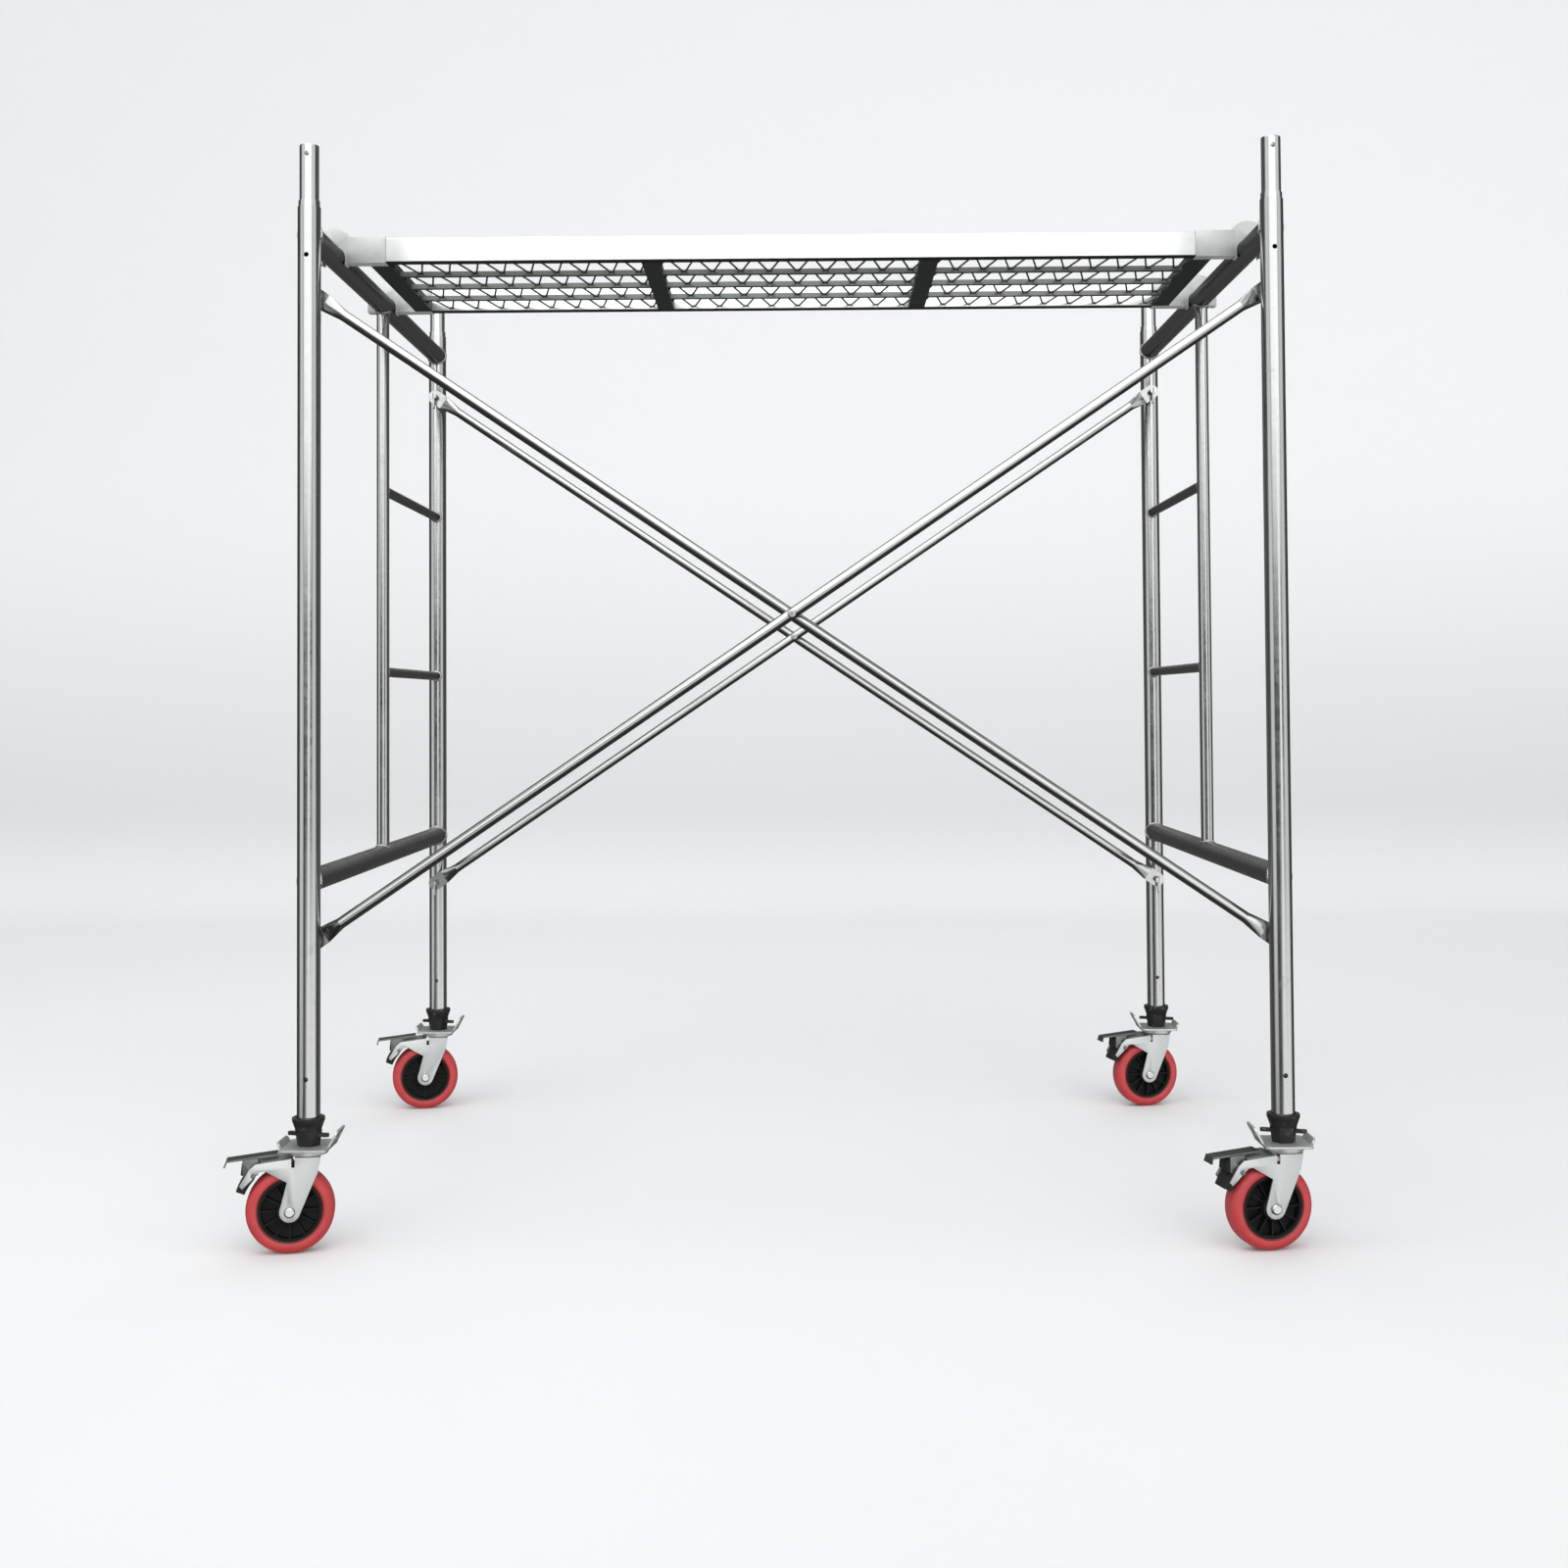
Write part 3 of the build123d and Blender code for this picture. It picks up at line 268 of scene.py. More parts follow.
def enamel_finish(name, colour, rough):
    """Black stoved metal, rubbed grey in places and lightly dusted."""
    material, graph, shader, place = start_finish(name, Metallic=0.35, Specular_IOR_Level=0.2)
    rub = graph.step(graph.noise(place, 60.0, 5.0, 0.65), 0.56, 0.70)
    dust = graph.noise(place, 14.0, 5.0)
    base = graph.mix(rub * 0.5, rgba(colour), (0.16, 0.16, 0.155, 1))
    base = graph.mix(graph.step(dust, 0.5, 0.8) * 0.25, base, (0.12, 0.115, 0.11, 1))
    connect(graph, shader, base, dust * 0.2 + rough - rub * 0.1, graph.noise(place, 420.0, 3.0), 0.0002)
    return material


def tyre_finish(name, colour, inner):
    """Cast red polyurethane: darker toward the rim, slightly bloomed, dusty where it rolls."""
    material, graph, shader, place = start_finish(name, IOR=1.5)
    across = graph.node("ShaderNodeAttribute", {"attribute_name": "rim_to_tread"}, {}, "Fac")
    cloud = graph.noise(place, 26.0, 5.0)
    grime = graph.noise(place, 150.0, 4.0, 0.7)
    rim = graph.step(across, 0.22, 0.06)
    tread = graph.step(across, 0.90, 1.0)
    base = graph.mix(graph.step(cloud, 0.3, 0.75), rgba(colour), rgba(colour, 0.82))
    base = graph.mix(rim * 0.92, base, rgba(inner))
    base = graph.mix(tread * graph.step(grime, 0.42, 0.62) * 0.35, base, (0.24, 0.10, 0.09, 1))
    connect(graph, shader, base, cloud * 0.16 + tread * 0.15 + 0.34, grime, 0.00015)
    return material


def moulded_finish(name, colour, rough, skin_scale=520.0, skin_depth=0.0002):
    """Moulded plastic or rubber with a fine skin and scuffed, dusty patches."""
    material, graph, shader, place = start_finish(name, IOR=1.42, Specular_IOR_Level=0.22)
    cloud = graph.noise(place, 30.0, 5.0)
    dust = graph.step(graph.noise(place, 75.0, 6.0, 0.7), 0.55, 0.78)
    base = graph.mix(dust * 0.35, rgba(colour), rgba(tuple(c * 2.0 + 0.008 for c in colour)))
    connect(graph, shader, base, cloud * 0.22 + rough, graph.noise(place, skin_scale, 3.0), skin_depth)
    return material


def weld_finish(name):
    """Zinc-sprayed weld metal: grey, rippled, with straw and blue heat tints."""
    material, graph, shader, place = start_finish(name, Metallic=1.0)
    cloud = graph.noise(place, 120.0, 4.0)
    base = graph.mix(graph.step(cloud, 0.35, 0.65), (0.40, 0.40, 0.39, 1), (0.60, 0.59, 0.57, 1))
    base = graph.mix(graph.step(graph.noise(place, 45.0), 0.58, 0.7) * 0.5, base, (0.34, 0.29, 0.22, 1))
    connect(graph, shader, base, cloud * 0.25 + 0.30, graph.noise(place, 700.0), 0.0002)
    return material


def floor_finish(name, colour):
    """Matt seamless paper, with painted shade that darkens it as it rises up the backdrop."""
    material, graph, shader, place = start_finish(name, Roughness=0.85)
    cloud = graph.noise(place, 0.6, 3.0)
    fibre = graph.noise(place, 160.0, 3.0)
    base = graph.mix(graph.step(cloud, 0.3, 0.7), rgba(colour), rgba(colour, 0.985))
    rise = graph.node("ShaderNodeSeparateXYZ", {}, {"Vector": place}, "Z")
    # Painted shade: the sweep darkens as it rises from the floor up the backdrop, and again higher up.
    base = graph.mix(graph.step(rise, -0.1, 0.5), base, rgba(colour, 0.76))
    base = graph.mix(graph.step(rise, 0.6, 2.6), base, rgba(colour, 0.90))
    connect(graph, shader, base, None, fibre, 0.0002)
    return material


def finish(name):
    """A finish that the finishes operator has made."""
    made = bpy.data.materials.get(f"{name}_finish")
    if made is None:
        raise RuntimeError(f"finish {name} is missing: make the finishes first")
    return made


# ---- Making pieces -----------------------------------------------------------------------------
SAME_POINT = 2e-6
FLAT_DEGREES = 0.4
SPUN_SHARP_DEGREES = 40


def to_piece(name, mesh, body, slot, *stands_for):
    """Links a finished mesh as a piece that moves with a body and stands for some CAD nodes."""
    mesh.name = name
    piece = bpy.data.objects.new(name, mesh)
    bpy.context.scene.collection.objects.link(piece)
    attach(piece, body)
    if stands_for:
        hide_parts(*stands_for)
    return piece


def evaluated(mesh, add_modifiers):
    """The mesh with modifiers applied, as a plain mesh."""
    scratch = bpy.data.objects.new("scratch", mesh)
    bpy.context.scene.collection.objects.link(scratch)
    add_modifiers(scratch)
    graph = bpy.context.evaluated_depsgraph_get()
    result = bpy.data.meshes.new_from_object(scratch.evaluated_get(graph), depsgraph=graph)
    bpy.data.objects.remove(scratch)
    return result


def grown(tree, mesh, values):
    """What a Geometry Nodes tree makes of a mesh with these inputs."""
    def add(scratch):
        modifier = scratch.modifiers.new("grow", "NODES")
        modifier.node_group = tree
        for item in tree.interface.items_tree:
            if item.item_type == "SOCKET" and item.in_out == "INPUT" and item.name in values:
                modifier[item.identifier] = values[item.name]
    result = evaluated(mesh, add)
    bpy.data.meshes.remove(mesh)
    return result


def start_tree(name, inputs):
    """A Geometry Nodes tree with a geometry input and output and named inputs."""
    tree = bpy.data.node_groups.new(name, "GeometryNodeTree")
    graph = Graph(tree)
    tree.interface.new_socket("Geometry", in_out="OUTPUT", socket_type="NodeSocketGeometry")
    tree.interface.new_socket("Geometry", in_out="INPUT", socket_type="NodeSocketGeometry")
    for label, kind, default in inputs:
        socket = tree.interface.new_socket(label, in_out="INPUT", socket_type=f"NodeSocket{kind}")
        if default is not None:
            socket.default_value = default
    return graph, graph.node("NodeGroupInput")


def end_tree(graph, group, geometry):
    """Realize Instances, Set Material and the output."""
    real = graph.node("GeometryNodeRealizeInstances", {}, {"Geometry": geometry})
    smooth = graph.node("GeometryNodeSetShadeSmooth", {}, {"Geometry": real})
    done = graph.node("GeometryNodeSetMaterial", {}, {"Geometry": smooth, "Material": group.out("Finish")})
    graph.node("NodeGroupOutput", {}, {"Geometry": done})
    return graph.tree


def bead_tree():
    """A rippled weld bead along each loop of edges, cut at four points per ripple."""
    graph, group = start_tree("weld_bead", [
        ("Bead Radius", "Float", 0.003), ("Ripple Pitch", "Float", 0.004), ("Ripple Depth", "Float", 0.12),
        ("Seed", "Int", 3), ("Finish", "Material", None)])
    line = graph.node("GeometryNodeMeshToCurve", {}, {"Mesh": group.out("Geometry")})
    pitch = group.out("Ripple Pitch")
    even = graph.node("GeometryNodeResampleCurve", {"mode": "LENGTH"},
                      {"Curve": line, "Length": pitch * 0.25})
    along = graph.node("GeometryNodeSplineParameter", out="Length")
    ripple = (along / pitch).maths("SINE", along / pitch * (2 * math.pi))
    random = graph.node("FunctionNodeRandomValue", {"data_type": "FLOAT"},
                        {"Min_001": 0.90, "Max_001": 1.10, "Seed": group.out("Seed")}, "Value_001")
    radius = (ripple * group.out("Ripple Depth") + 1) * random * group.out("Bead Radius")
    ring = graph.node("GeometryNodeCurvePrimitiveCircle", {"mode": "RADIUS"},
                      {"Resolution": 8, "Radius": 1.0})
    bead = graph.node("GeometryNodeCurveToMesh", {},
                      {"Curve": even, "Profile Curve": ring, "Scale": radius})
    return end_tree(graph, group, bead)


def wire_tree():
    """Round wire bent along each run of edges."""
    graph, group = start_tree("bent_wire", [
        ("Wire Radius", "Float", 0.002), ("Bend Radius", "Float", 0.006), ("Finish", "Material", None)])
    line = graph.node("GeometryNodeMeshToCurve", {}, {"Mesh": group.out("Geometry")})
    bent = graph.node("GeometryNodeFilletCurve", {"mode": "POLY"},
                      {"Curve": line, "Count": 4, "Radius": group.out("Bend Radius"), "Limit Radius": True})
    ring = graph.node("GeometryNodeCurvePrimitiveCircle", {"mode": "RADIUS"},
                      {"Resolution": 8, "Radius": group.out("Wire Radius")})
    wire = graph.node("GeometryNodeCurveToMesh", {},
                      {"Curve": bent, "Profile Curve": ring, "Fill Caps": True})
    return end_tree(graph, group, wire)


def tack_tree():
    """A small flattened blob of weld at each vertex."""
    graph, group = start_tree("tack_spots", [
        ("Tack Radius", "Float", 0.004), ("Seed", "Int", 5), ("Finish", "Material", None)])
    points = graph.node("GeometryNodeMeshToPoints", {}, {"Mesh": group.out("Geometry")})
    blob = graph.node("GeometryNodeMeshUVSphere", {},
                      {"Segments": 8, "Rings": 5, "Radius": group.out("Tack Radius")})
    limits = {"Min": (0.8, 0.7, 0.45), "Max": (1.15, 1.1, 0.6), "Seed": group.out("Seed")}
    size = graph.node("FunctionNodeRandomValue", {"data_type": "FLOAT_VECTOR"}, limits, "Value")
    spots = graph.node("GeometryNodeInstanceOnPoints", {},
                       {"Points": points, "Instance": blob, "Scale": size})
    return end_tree(graph, group, spots)


def run_mesh(runs, closed=False):
    """A mesh of edges only, one run of edges per list of points."""
    points, edges = [], []
    for run in runs:
        first = len(points)
        points += [tuple(p) for p in run]
        edges += [(first + i, first + i + 1) for i in range(len(run) - 1)]
        if closed:
            edges.append((first + len(run) - 1, first))
    mesh = bpy.data.meshes.new("runs")
    mesh.from_pydata(points, edges, [])
    return mesh


def saddle(point, branch, main, branch_r, main_r, steps=72):
    """The loop where a round tube of radius branch_r meets the side of one of radius main_r."""
    side = branch.cross(main)
    loop = []
    for i in range(steps):
        turn = 2 * math.pi * i / steps
        flank = branch_r * math.sin(turn)
        reach = math.sqrt(max(main_r**2 - flank**2, (0.25 * main_r) ** 2))
        loop.append(point + main * branch_r * math.cos(turn) + side * flank + branch * reach)
    return loop


def softened(node, name, slot, body, width, look=None, angle=32):
    """A copy of a CAD node with its sharp edges rolled, which stands for the node."""
    shape = bmesh.new()
    shape.from_mesh(NODES[node].data)
    bmesh.ops.remove_doubles(shape, verts=shape.verts, dist=SAME_POINT)
    bmesh.ops.dissolve_limit(shape, angle_limit=math.radians(FLAT_DEGREES),
                             verts=shape.verts, edges=shape.edges)
    mesh = bpy.data.meshes.new(name)
    shape.to_mesh(mesh)
    shape.free()
    for layer in ("custom_normal", "sharp_edge", "sharp_face"):
        if layer in mesh.attributes:
            mesh.attributes.remove(mesh.attributes[layer])

    def bevel(scratch):
        modifier = scratch.modifiers.new("roll", "BEVEL")
        modifier.width = width
        modifier.segments = 2
        modifier.limit_method = "ANGLE"
        modifier.angle_limit = math.radians(angle)
        modifier.use_clamp_overlap = True
    rolled = evaluated(mesh, bevel)
    bpy.data.meshes.remove(mesh)
    rolled.shade_smooth()
    rolled.set_sharp_from_angle(angle=math.radians(angle))
    rolled.materials.clear()
    rolled.materials.append(finish(look or slot))
    return to_piece(name, rolled, body, slot, node)


def spun(name, profile, middle, axis, steps=96):
    """A ring spun from (radius, offset) points, with each point's share of the way out kept."""
    shape = bmesh.new()
    share = shape.verts.layers.float.new("rim_to_tread")
    toward = axis.cross(UP).normalized()
    lift = toward.cross(axis)
    radii = [r for r, _ in profile]
    rings = []
    for i in range(steps):
        turn = 2 * math.pi * i / steps
        spoke = toward * math.cos(turn) + lift * math.sin(turn)
        ring = [shape.verts.new(middle + spoke * r + axis * along) for r, along in profile]
        for vertex, radius in zip(ring, radii):
            vertex[share] = (radius - min(radii)) / (max(radii) - min(radii))
        rings.append(ring)
    count = len(profile)
    for ring, after in zip(rings, rings[1:] + rings[:1]):
        for i in range(count):
            shape.faces.new((ring[i], ring[(i + 1) % count], after[(i + 1) % count], after[i]))
    bmesh.ops.recalc_face_normals(shape, faces=shape.faces)
    mesh = bpy.data.meshes.new(name)
    shape.to_mesh(mesh)
    shape.free()
    mesh.shade_smooth()
    mesh.set_sharp_from_angle(angle=math.radians(SPUN_SHARP_DEGREES))
    return mesh


# ---- What a user may change --------------------------------------------------------------------
class ScaffoldWeldSettings(bpy.types.PropertyGroup):
    bead_radius: FloatProperty(
        name="Bead Radius", description="Half the width of a weld bead", default=0.0032,
        min=0.001, max=0.008, unit="LENGTH", precision=4)
    ripple_pitch: FloatProperty(
        name="Ripple Pitch", description="Spacing of the ripples in a bead", default=0.0042,
        min=0.002, max=0.02, unit="LENGTH", precision=4)
    tack_radius: FloatProperty(
        name="Tack Radius", description="Half the width of a tack weld on the deck", default=0.0045,
        min=0.001, max=0.01, unit="LENGTH", precision=4)
    seed: IntProperty(name="Seed", description="Picks the unevenness of the welds", default=7, min=0)


class ScaffoldDeckSettings(bpy.types.PropertyGroup):
    wire_radius: FloatProperty(
        name="Wire Radius", description="Half the thickness of the zigzag wires", default=0.002,
        min=0.001, max=0.004, unit="LENGTH", precision=4)
    bend_radius: FloatProperty(
        name="Bend Radius", description="How tightly the zigzag wires are bent", default=0.0045,
        min=0.001, max=0.02, unit="LENGTH", precision=4)


class ScaffoldWheelSettings(bpy.types.PropertyGroup):
    tyre_colour: FloatVectorProperty(
        name="Tyre Colour", description="Colour of the tyres", default=(0.50, 0.040, 0.043),
        subtype="COLOR", size=3, min=0, max=1)
    inner_colour: FloatVectorProperty(
        name="Inner Edge", description="Colour of the tyres at the rim", default=(0.07, 0.009, 0.008),
        subtype="COLOR", size=3, min=0, max=1)
    hub_colour: FloatVectorProperty(
        name="Hub Colour", description="Colour of the hubs", default=(0.006, 0.007, 0.006),
        subtype="COLOR", size=3, min=0, max=1)
    shoulder: FloatProperty(
        name="Shoulder", description="How far the tread is rounded at its sides", default=0.014,
        min=0.004, max=0.02, unit="LENGTH", precision=4)


class ScaffoldMetalSettings(bpy.types.PropertyGroup):
    tube_colour: FloatVectorProperty(
        name="Tube Colour", description="Colour of the galvanised tubes", default=(0.46, 0.468, 0.46),
        subtype="COLOR", size=3, min=0, max=1)
    grille_colour: FloatVectorProperty(
        name="Grille Colour", description="Colour of the deck's bars", default=(0.10, 0.108, 0.10),
        subtype="COLOR", size=3, min=0, max=1)
    edge_roll: FloatProperty(
        name="Edge Roll", description="How far pressed and cast edges are rounded", default=0.0007,
        min=0.0001, max=0.003, unit="LENGTH", precision=4)


class ScaffoldStageSettings(bpy.types.PropertyGroup):
    floor_colour: FloatVectorProperty(
        name="Floor Colour", description="Colour of the floor and backdrop", default=(0.86, 0.865, 0.87),
        subtype="COLOR", size=3, min=0, max=1)
    front_level: FloatProperty(
        name="Front Level", description="Brightness of the studio's front", default=1.95, min=0, max=10)
    side_level: FloatProperty(
        name="Side Level", description="Brightness of the studio's sides", default=0.10, min=0, max=10)
    top_level: FloatProperty(
        name="Top Level", description="Brightness of the studio's ceiling", default=0.40, min=0, max=10)
    key_power: FloatProperty(
        name="Key Power", description="Power of the overhead lamp", default=104.0, min=0, unit="POWER")
    lens: FloatProperty(
        name="Lens", description="Focal length of the camera", default=42.356, min=10, max=200,
        unit="CAMERA")


# ---- Finishes operator -------------------------------------------------------------------------
class SCAFFOLD_OT_finishes(bpy.types.Operator):
    """Makes every finish and gives each CAD node its own"""

    bl_idname = "scaffold.finishes"
    bl_label = "Make Finishes"

    def execute(self, context):
        metal = context.scene.scaffold_metal
        wheels = context.scene.scaffold_wheels
        tube, grille = tuple(metal.tube_colour), tuple(metal.grille_colour)
        # A lighter copy of the tube colour for the crossing tubes, as painted light on their tops.
        crossing = tuple(c * CROSSING_GAIN for c in tube)
        bars = tuple(c * GRILLE_GAIN for c in grille)
        # Each zinc finish's fifth number is the share of its colour kept where painted shade darkens its
        # faces turned away from up.
        zinc_finish("galvanised_tube", tube, 0.17, GRAIN_Z, 0.30)
        zinc_finish("crossing_tube", crossing, 0.28, GRAIN_Y, 0.42, painted_shade_span=(0.85, 0.15))
        zinc_finish("brace_steel", tube, 0.20, BRACE_GRAIN, 0.45, painted_shade_span=(0.15, -0.60))
        zinc_finish("deck_steel", DECK_ZINC, 0.34, GRAIN_X, 0.08, spangle=0.1)
        zinc_finish("grille_steel", bars, 0.42, GRAIN_X, 0.8, spangle=0.3)
        zinc_finish("wire_steel", WIRE_ZINC, 0.34, EVEN_GRAIN, 0.5)
        zinc_finish("pin_steel", PIN_ZINC, 0.20, PIN_GRAIN, 0.6)
        zinc_finish("zinc_plate", PLATE_ZINC, 0.46, PRESSED_GRAIN, 0.4, 0.05, 0.8)
        zinc_finish("pedal_steel", PEDAL_ZINC, 0.38, PRESSED_GRAIN, 0.4, 0.05, 0.9)
        casting_finish("hook_casting", CASTING)
        enamel_finish("black_metal", BLACK, 0.30)
        tyre_finish("red_tyre", tuple(wheels.tyre_colour), tuple(wheels.inner_colour))
        moulded_finish("black_plastic", tuple(wheels.hub_colour), 0.40)
        moulded_finish("black_rubber", BLACK, 0.55, 260.0, 0.0004)
        weld_finish("weld_metal")
        rules = (
            ("_brace", "brace_steel"), ("transom", "crossing_tube"), ("crossbar", "crossing_tube"),
            ("rungs", "crossing_tube"), ("brace_rivets", "pin_steel"), ("brace_studs", "pin_steel"),
            ("coupling_pins", "pin_steel"), ("rail", "deck_steel"), ("deck_hooks", "hook_casting"),
            ("deck_zigzags", "wire_steel"), ("deck_", "grille_steel"), ("collars", "black_metal"),
            ("stem_nuts", "black_metal"), ("stems", "pin_steel"), ("axle", "pin_steel"),
            ("tyre", "red_tyre"), ("hub", "black_plastic"), ("shoe", "black_rubber"),
            ("fork", "zinc_plate"), ("pedal", "pedal_steel"), ("plates", "zinc_plate"),
            ("latch", "zinc_plate"), ("", "galvanised_tube"),
        )
        for name, node in NODES.items():
            chosen = finish(next(look for part, look in rules if part in name))
            if not node.material_slots:
                node.data.materials.append(chosen)
            for slot in node.material_slots:
                slot.material = chosen
        return {"FINISHED"}


# ---- Welds -------------------------------------------------------------------------------------
def frame_joints():
    """Each welded joint of the two frames: point, branch direction, main direction, both radii."""
    for side in SIDES:
        near, far = POST[f"near_{side}"], POST[f"far_{side}"]
        for height in (TRANSOM_Z, CROSSBAR_Z):
            for post, inward in ((near, ACROSS), (far, -ACROSS)):
                yield Vector((post.x, post.y, height)), inward, UP, POST_R, POST_R
        yield Vector((near.x, 0, TRANSOM_Z)), -UP, ACROSS, STILE_R, POST_R
        yield Vector((near.x, 0, CROSSBAR_Z)), UP, ACROSS, STILE_R, POST_R
        for height in RUNG_HEIGHTS:
            yield Vector((near.x, 0, height)), ACROSS, UP, RUNG_R, STILE_R
            yield Vector((far.x, far.y, height)), -ACROSS, UP, RUNG_R, POST_R
    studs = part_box("brace_studs")
    for corner, post in POST.items():
        inward = ACROSS if corner.startswith("near") else -ACROSS
        for height in (studs[0].z + STUD_SEAT_R, studs[1].z - STUD_SEAT_R):
            yield Vector((post.x, post.y, height)), inward, UP, STUD_SEAT_R, POST_R


class SCAFFOLD_OT_welds(bpy.types.Operator):
    """Lays a rippled bead round every welded joint of the two frames"""

    bl_idname = "scaffold.welds"
    bl_label = "Lay Weld Beads"

    def execute(self, context):
        welds = context.scene.scaffold_welds
        loops = [saddle(*joint) for joint in frame_joints()]
        mesh = grown(bead_tree(), run_mesh(loops, closed=True), {
            "Bead Radius": welds.bead_radius, "Ripple Pitch": welds.ripple_pitch,
            "Ripple Depth": 0.14, "Seed": welds.seed, "Finish": finish("weld_metal")})
        to_piece("frame_weld_beads", mesh, "frame", "galvanised_tube")
        return {"FINISHED"}


# ---- Deck --------------------------------------------------------------------------------------
ON_EDGE = 2e-4
BEND_SPREAD = 0.012
# Rounding of the deck's members, as a multiple of the edge roll.
RAIL_ROLL, HOOK_ROLL = 3.5, 2.2


def islands(node):
    """The vertices of each separate solid of a CAD node."""
    shape = bmesh.new()
    shape.from_mesh(NODES[node].data)
    bmesh.ops.remove_doubles(shape, verts=shape.verts, dist=SAME_POINT)
    left = set(shape.verts)
    groups = []
    while left:
        waiting = [left.pop()]
        group = []
        while waiting:
            vertex = waiting.pop()
            group.append(vertex.co.copy())
            for edge in vertex.link_edges:
                other = edge.other_vert(vertex)
                if other in left:
                    left.remove(other)
                    waiting.append(other)
        groups.append(group)
    shape.free()
    return sorted(groups, key=lambda g: (round(min(p.y for p in g), 3), min(p.x for p in g)))


def zigzag_run(group, bend):
    """The centre line of one zigzag wire, whose rounded bends just reach the bars, and those bends."""
    low, high = min(p.y for p in group), max(p.y for p in group)
    height = (min(p.z for p in group) + max(p.z for p in group)) / 2
    start, end = min(p.x for p in group), max(p.x for p in group)
    corners = []
    for edge_y in (low, high):
        marks = sorted(p.x for p in group if abs(p.y - edge_y) < ON_EDGE)
        clusters = []
        for x in marks:
            if clusters and x - clusters[-1][-1] < BEND_SPREAD:
                clusters[-1].append(x)
            else:
                clusters.append([x])
        corners += [Vector(((c[0] + c[-1]) / 2, edge_y, height)) for c in clusters]
    corners.sort(key=lambda p: p.x)
    middle = (low + high) / 2
    reach = 0.0
    for _ in range(6):
        half_angle = math.atan2(corners[1].x - corners[0].x, high - low + 2 * reach)
        reach = bend * (1 / math.sin(half_angle) - 1)
    run = [Vector((p.x, p.y + (-reach if p.y < middle else reach), height)) for p in corners]
    ends = [Vector((start, middle, height)), Vector((end, middle, height))]
    return [ends[0], *run, ends[1]], corners


class SCAFFOLD_OT_deck(bpy.types.Operator):
    """Bends the zigzag wires, tacks them to the bars and rolls the edges of the deck's members"""

    bl_idname = "scaffold.deck"
    bl_label = "Finish Deck"

    def execute(self, context):
        deck = context.scene.scaffold_deck
        welds = context.scene.scaffold_welds
        roll = context.scene.scaffold_metal.edge_roll
        runs, tacks = [], []
        for group in islands("deck_zigzags"):
            run, corners = zigzag_run(group, deck.bend_radius)
            runs.append(run)
            tacks += corners
        wires = grown(wire_tree(), run_mesh(runs), {
            "Wire Radius": deck.wire_radius, "Bend Radius": deck.bend_radius,
            "Finish": finish("wire_steel")})
        to_piece("deck_wires", wires, "deck", "deck_steel", "deck_zigzags")
        spots = bpy.data.meshes.new("spots")
        spots.from_pydata([tuple(p) for p in tacks], [], [])
        blobs = grown(tack_tree(), spots, {
            "Tack Radius": welds.tack_radius, "Seed": welds.seed, "Finish": finish("grille_steel")})
        to_piece("deck_tacks", blobs, "deck", "deck_steel")
        for node, look, share in (("deck_near_rail", "deck_steel", RAIL_ROLL),
                                  ("deck_far_rail", "deck_steel", RAIL_ROLL),
                                  ("deck_hooks", "hook_casting", HOOK_ROLL)):
            softened(node, f"{node}_rolled", look, "deck", roll * share)
        return {"FINISHED"}


# ---- Casters -----------------------------------------------------------------------------------
# The rim's lip and groove as (outward from the bore, inward from the side) steps, in metres.
RIM_STEPS = ((0.0, 0.0020), (0.0014, 0.0012), (0.0020, 0.0022), (0.0032, 0.0010), (0.0060, 0.0002))
SEAM_HALF_WIDTH, SEAM_FOOT, SEAM_DEPTH = 0.0011, 0.0005, 0.0004
SHOULDER_STEPS = 8


def tyre_profile(inner, outer, half, shoulder):
    """Section of a tyre as (radius, offset) points, rim side first, all the way round."""
    side = [(inner + out, half - back) for out, back in RIM_STEPS]
    flank = outer - shoulder
    curve = []
    for i in range(SHOULDER_STEPS + 1):
        turn = math.radians(90 * i / SHOULDER_STEPS)
        curve.append((flank + shoulder * math.sin(turn), half - shoulder * (1 - math.cos(turn))))
    seam_bed = outer - SEAM_DEPTH
    seam = [(outer, SEAM_HALF_WIDTH), (seam_bed, SEAM_FOOT)]
    half_section = side + curve + seam
    mirrored = [(r, -along) for r, along in reversed(half_section)]
    return half_section + [(seam_bed, 0.0)] + mirrored


class SCAFFOLD_OT_wheels(bpy.types.Operator):
    """Spins the four tyres with their shoulders, rim grooves and mould seams"""

    bl_idname = "scaffold.wheels"
    bl_label = "Make Tyres"

    def execute(self, context):
        wheels = context.scene.scaffold_wheels
        for corner in CORNERS:
            axis = WHEEL_AXIS[f"{corner}_wheel"]
            low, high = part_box(f"{corner}_tyre")
            middle = (low + high) / 2
            outer = (high.z - low.z) / 2
            points = [v.co - middle for v in NODES[f"{corner}_tyre"].data.vertices]
            half = max(abs(p.dot(axis)) for p in points)
            inner = min((p - axis * p.dot(axis)).length for p in points)
            profile = tyre_profile(inner, outer, half, wheels.shoulder)
            mesh = spun(f"{corner}_tyre_cast", profile, middle, axis)
            mesh.materials.append(finish("red_tyre"))
            to_piece(f"{corner}_tyre_cast", mesh, f"{corner}_wheel", "red_tyre", f"{corner}_tyre")
        return {"FINISHED"}


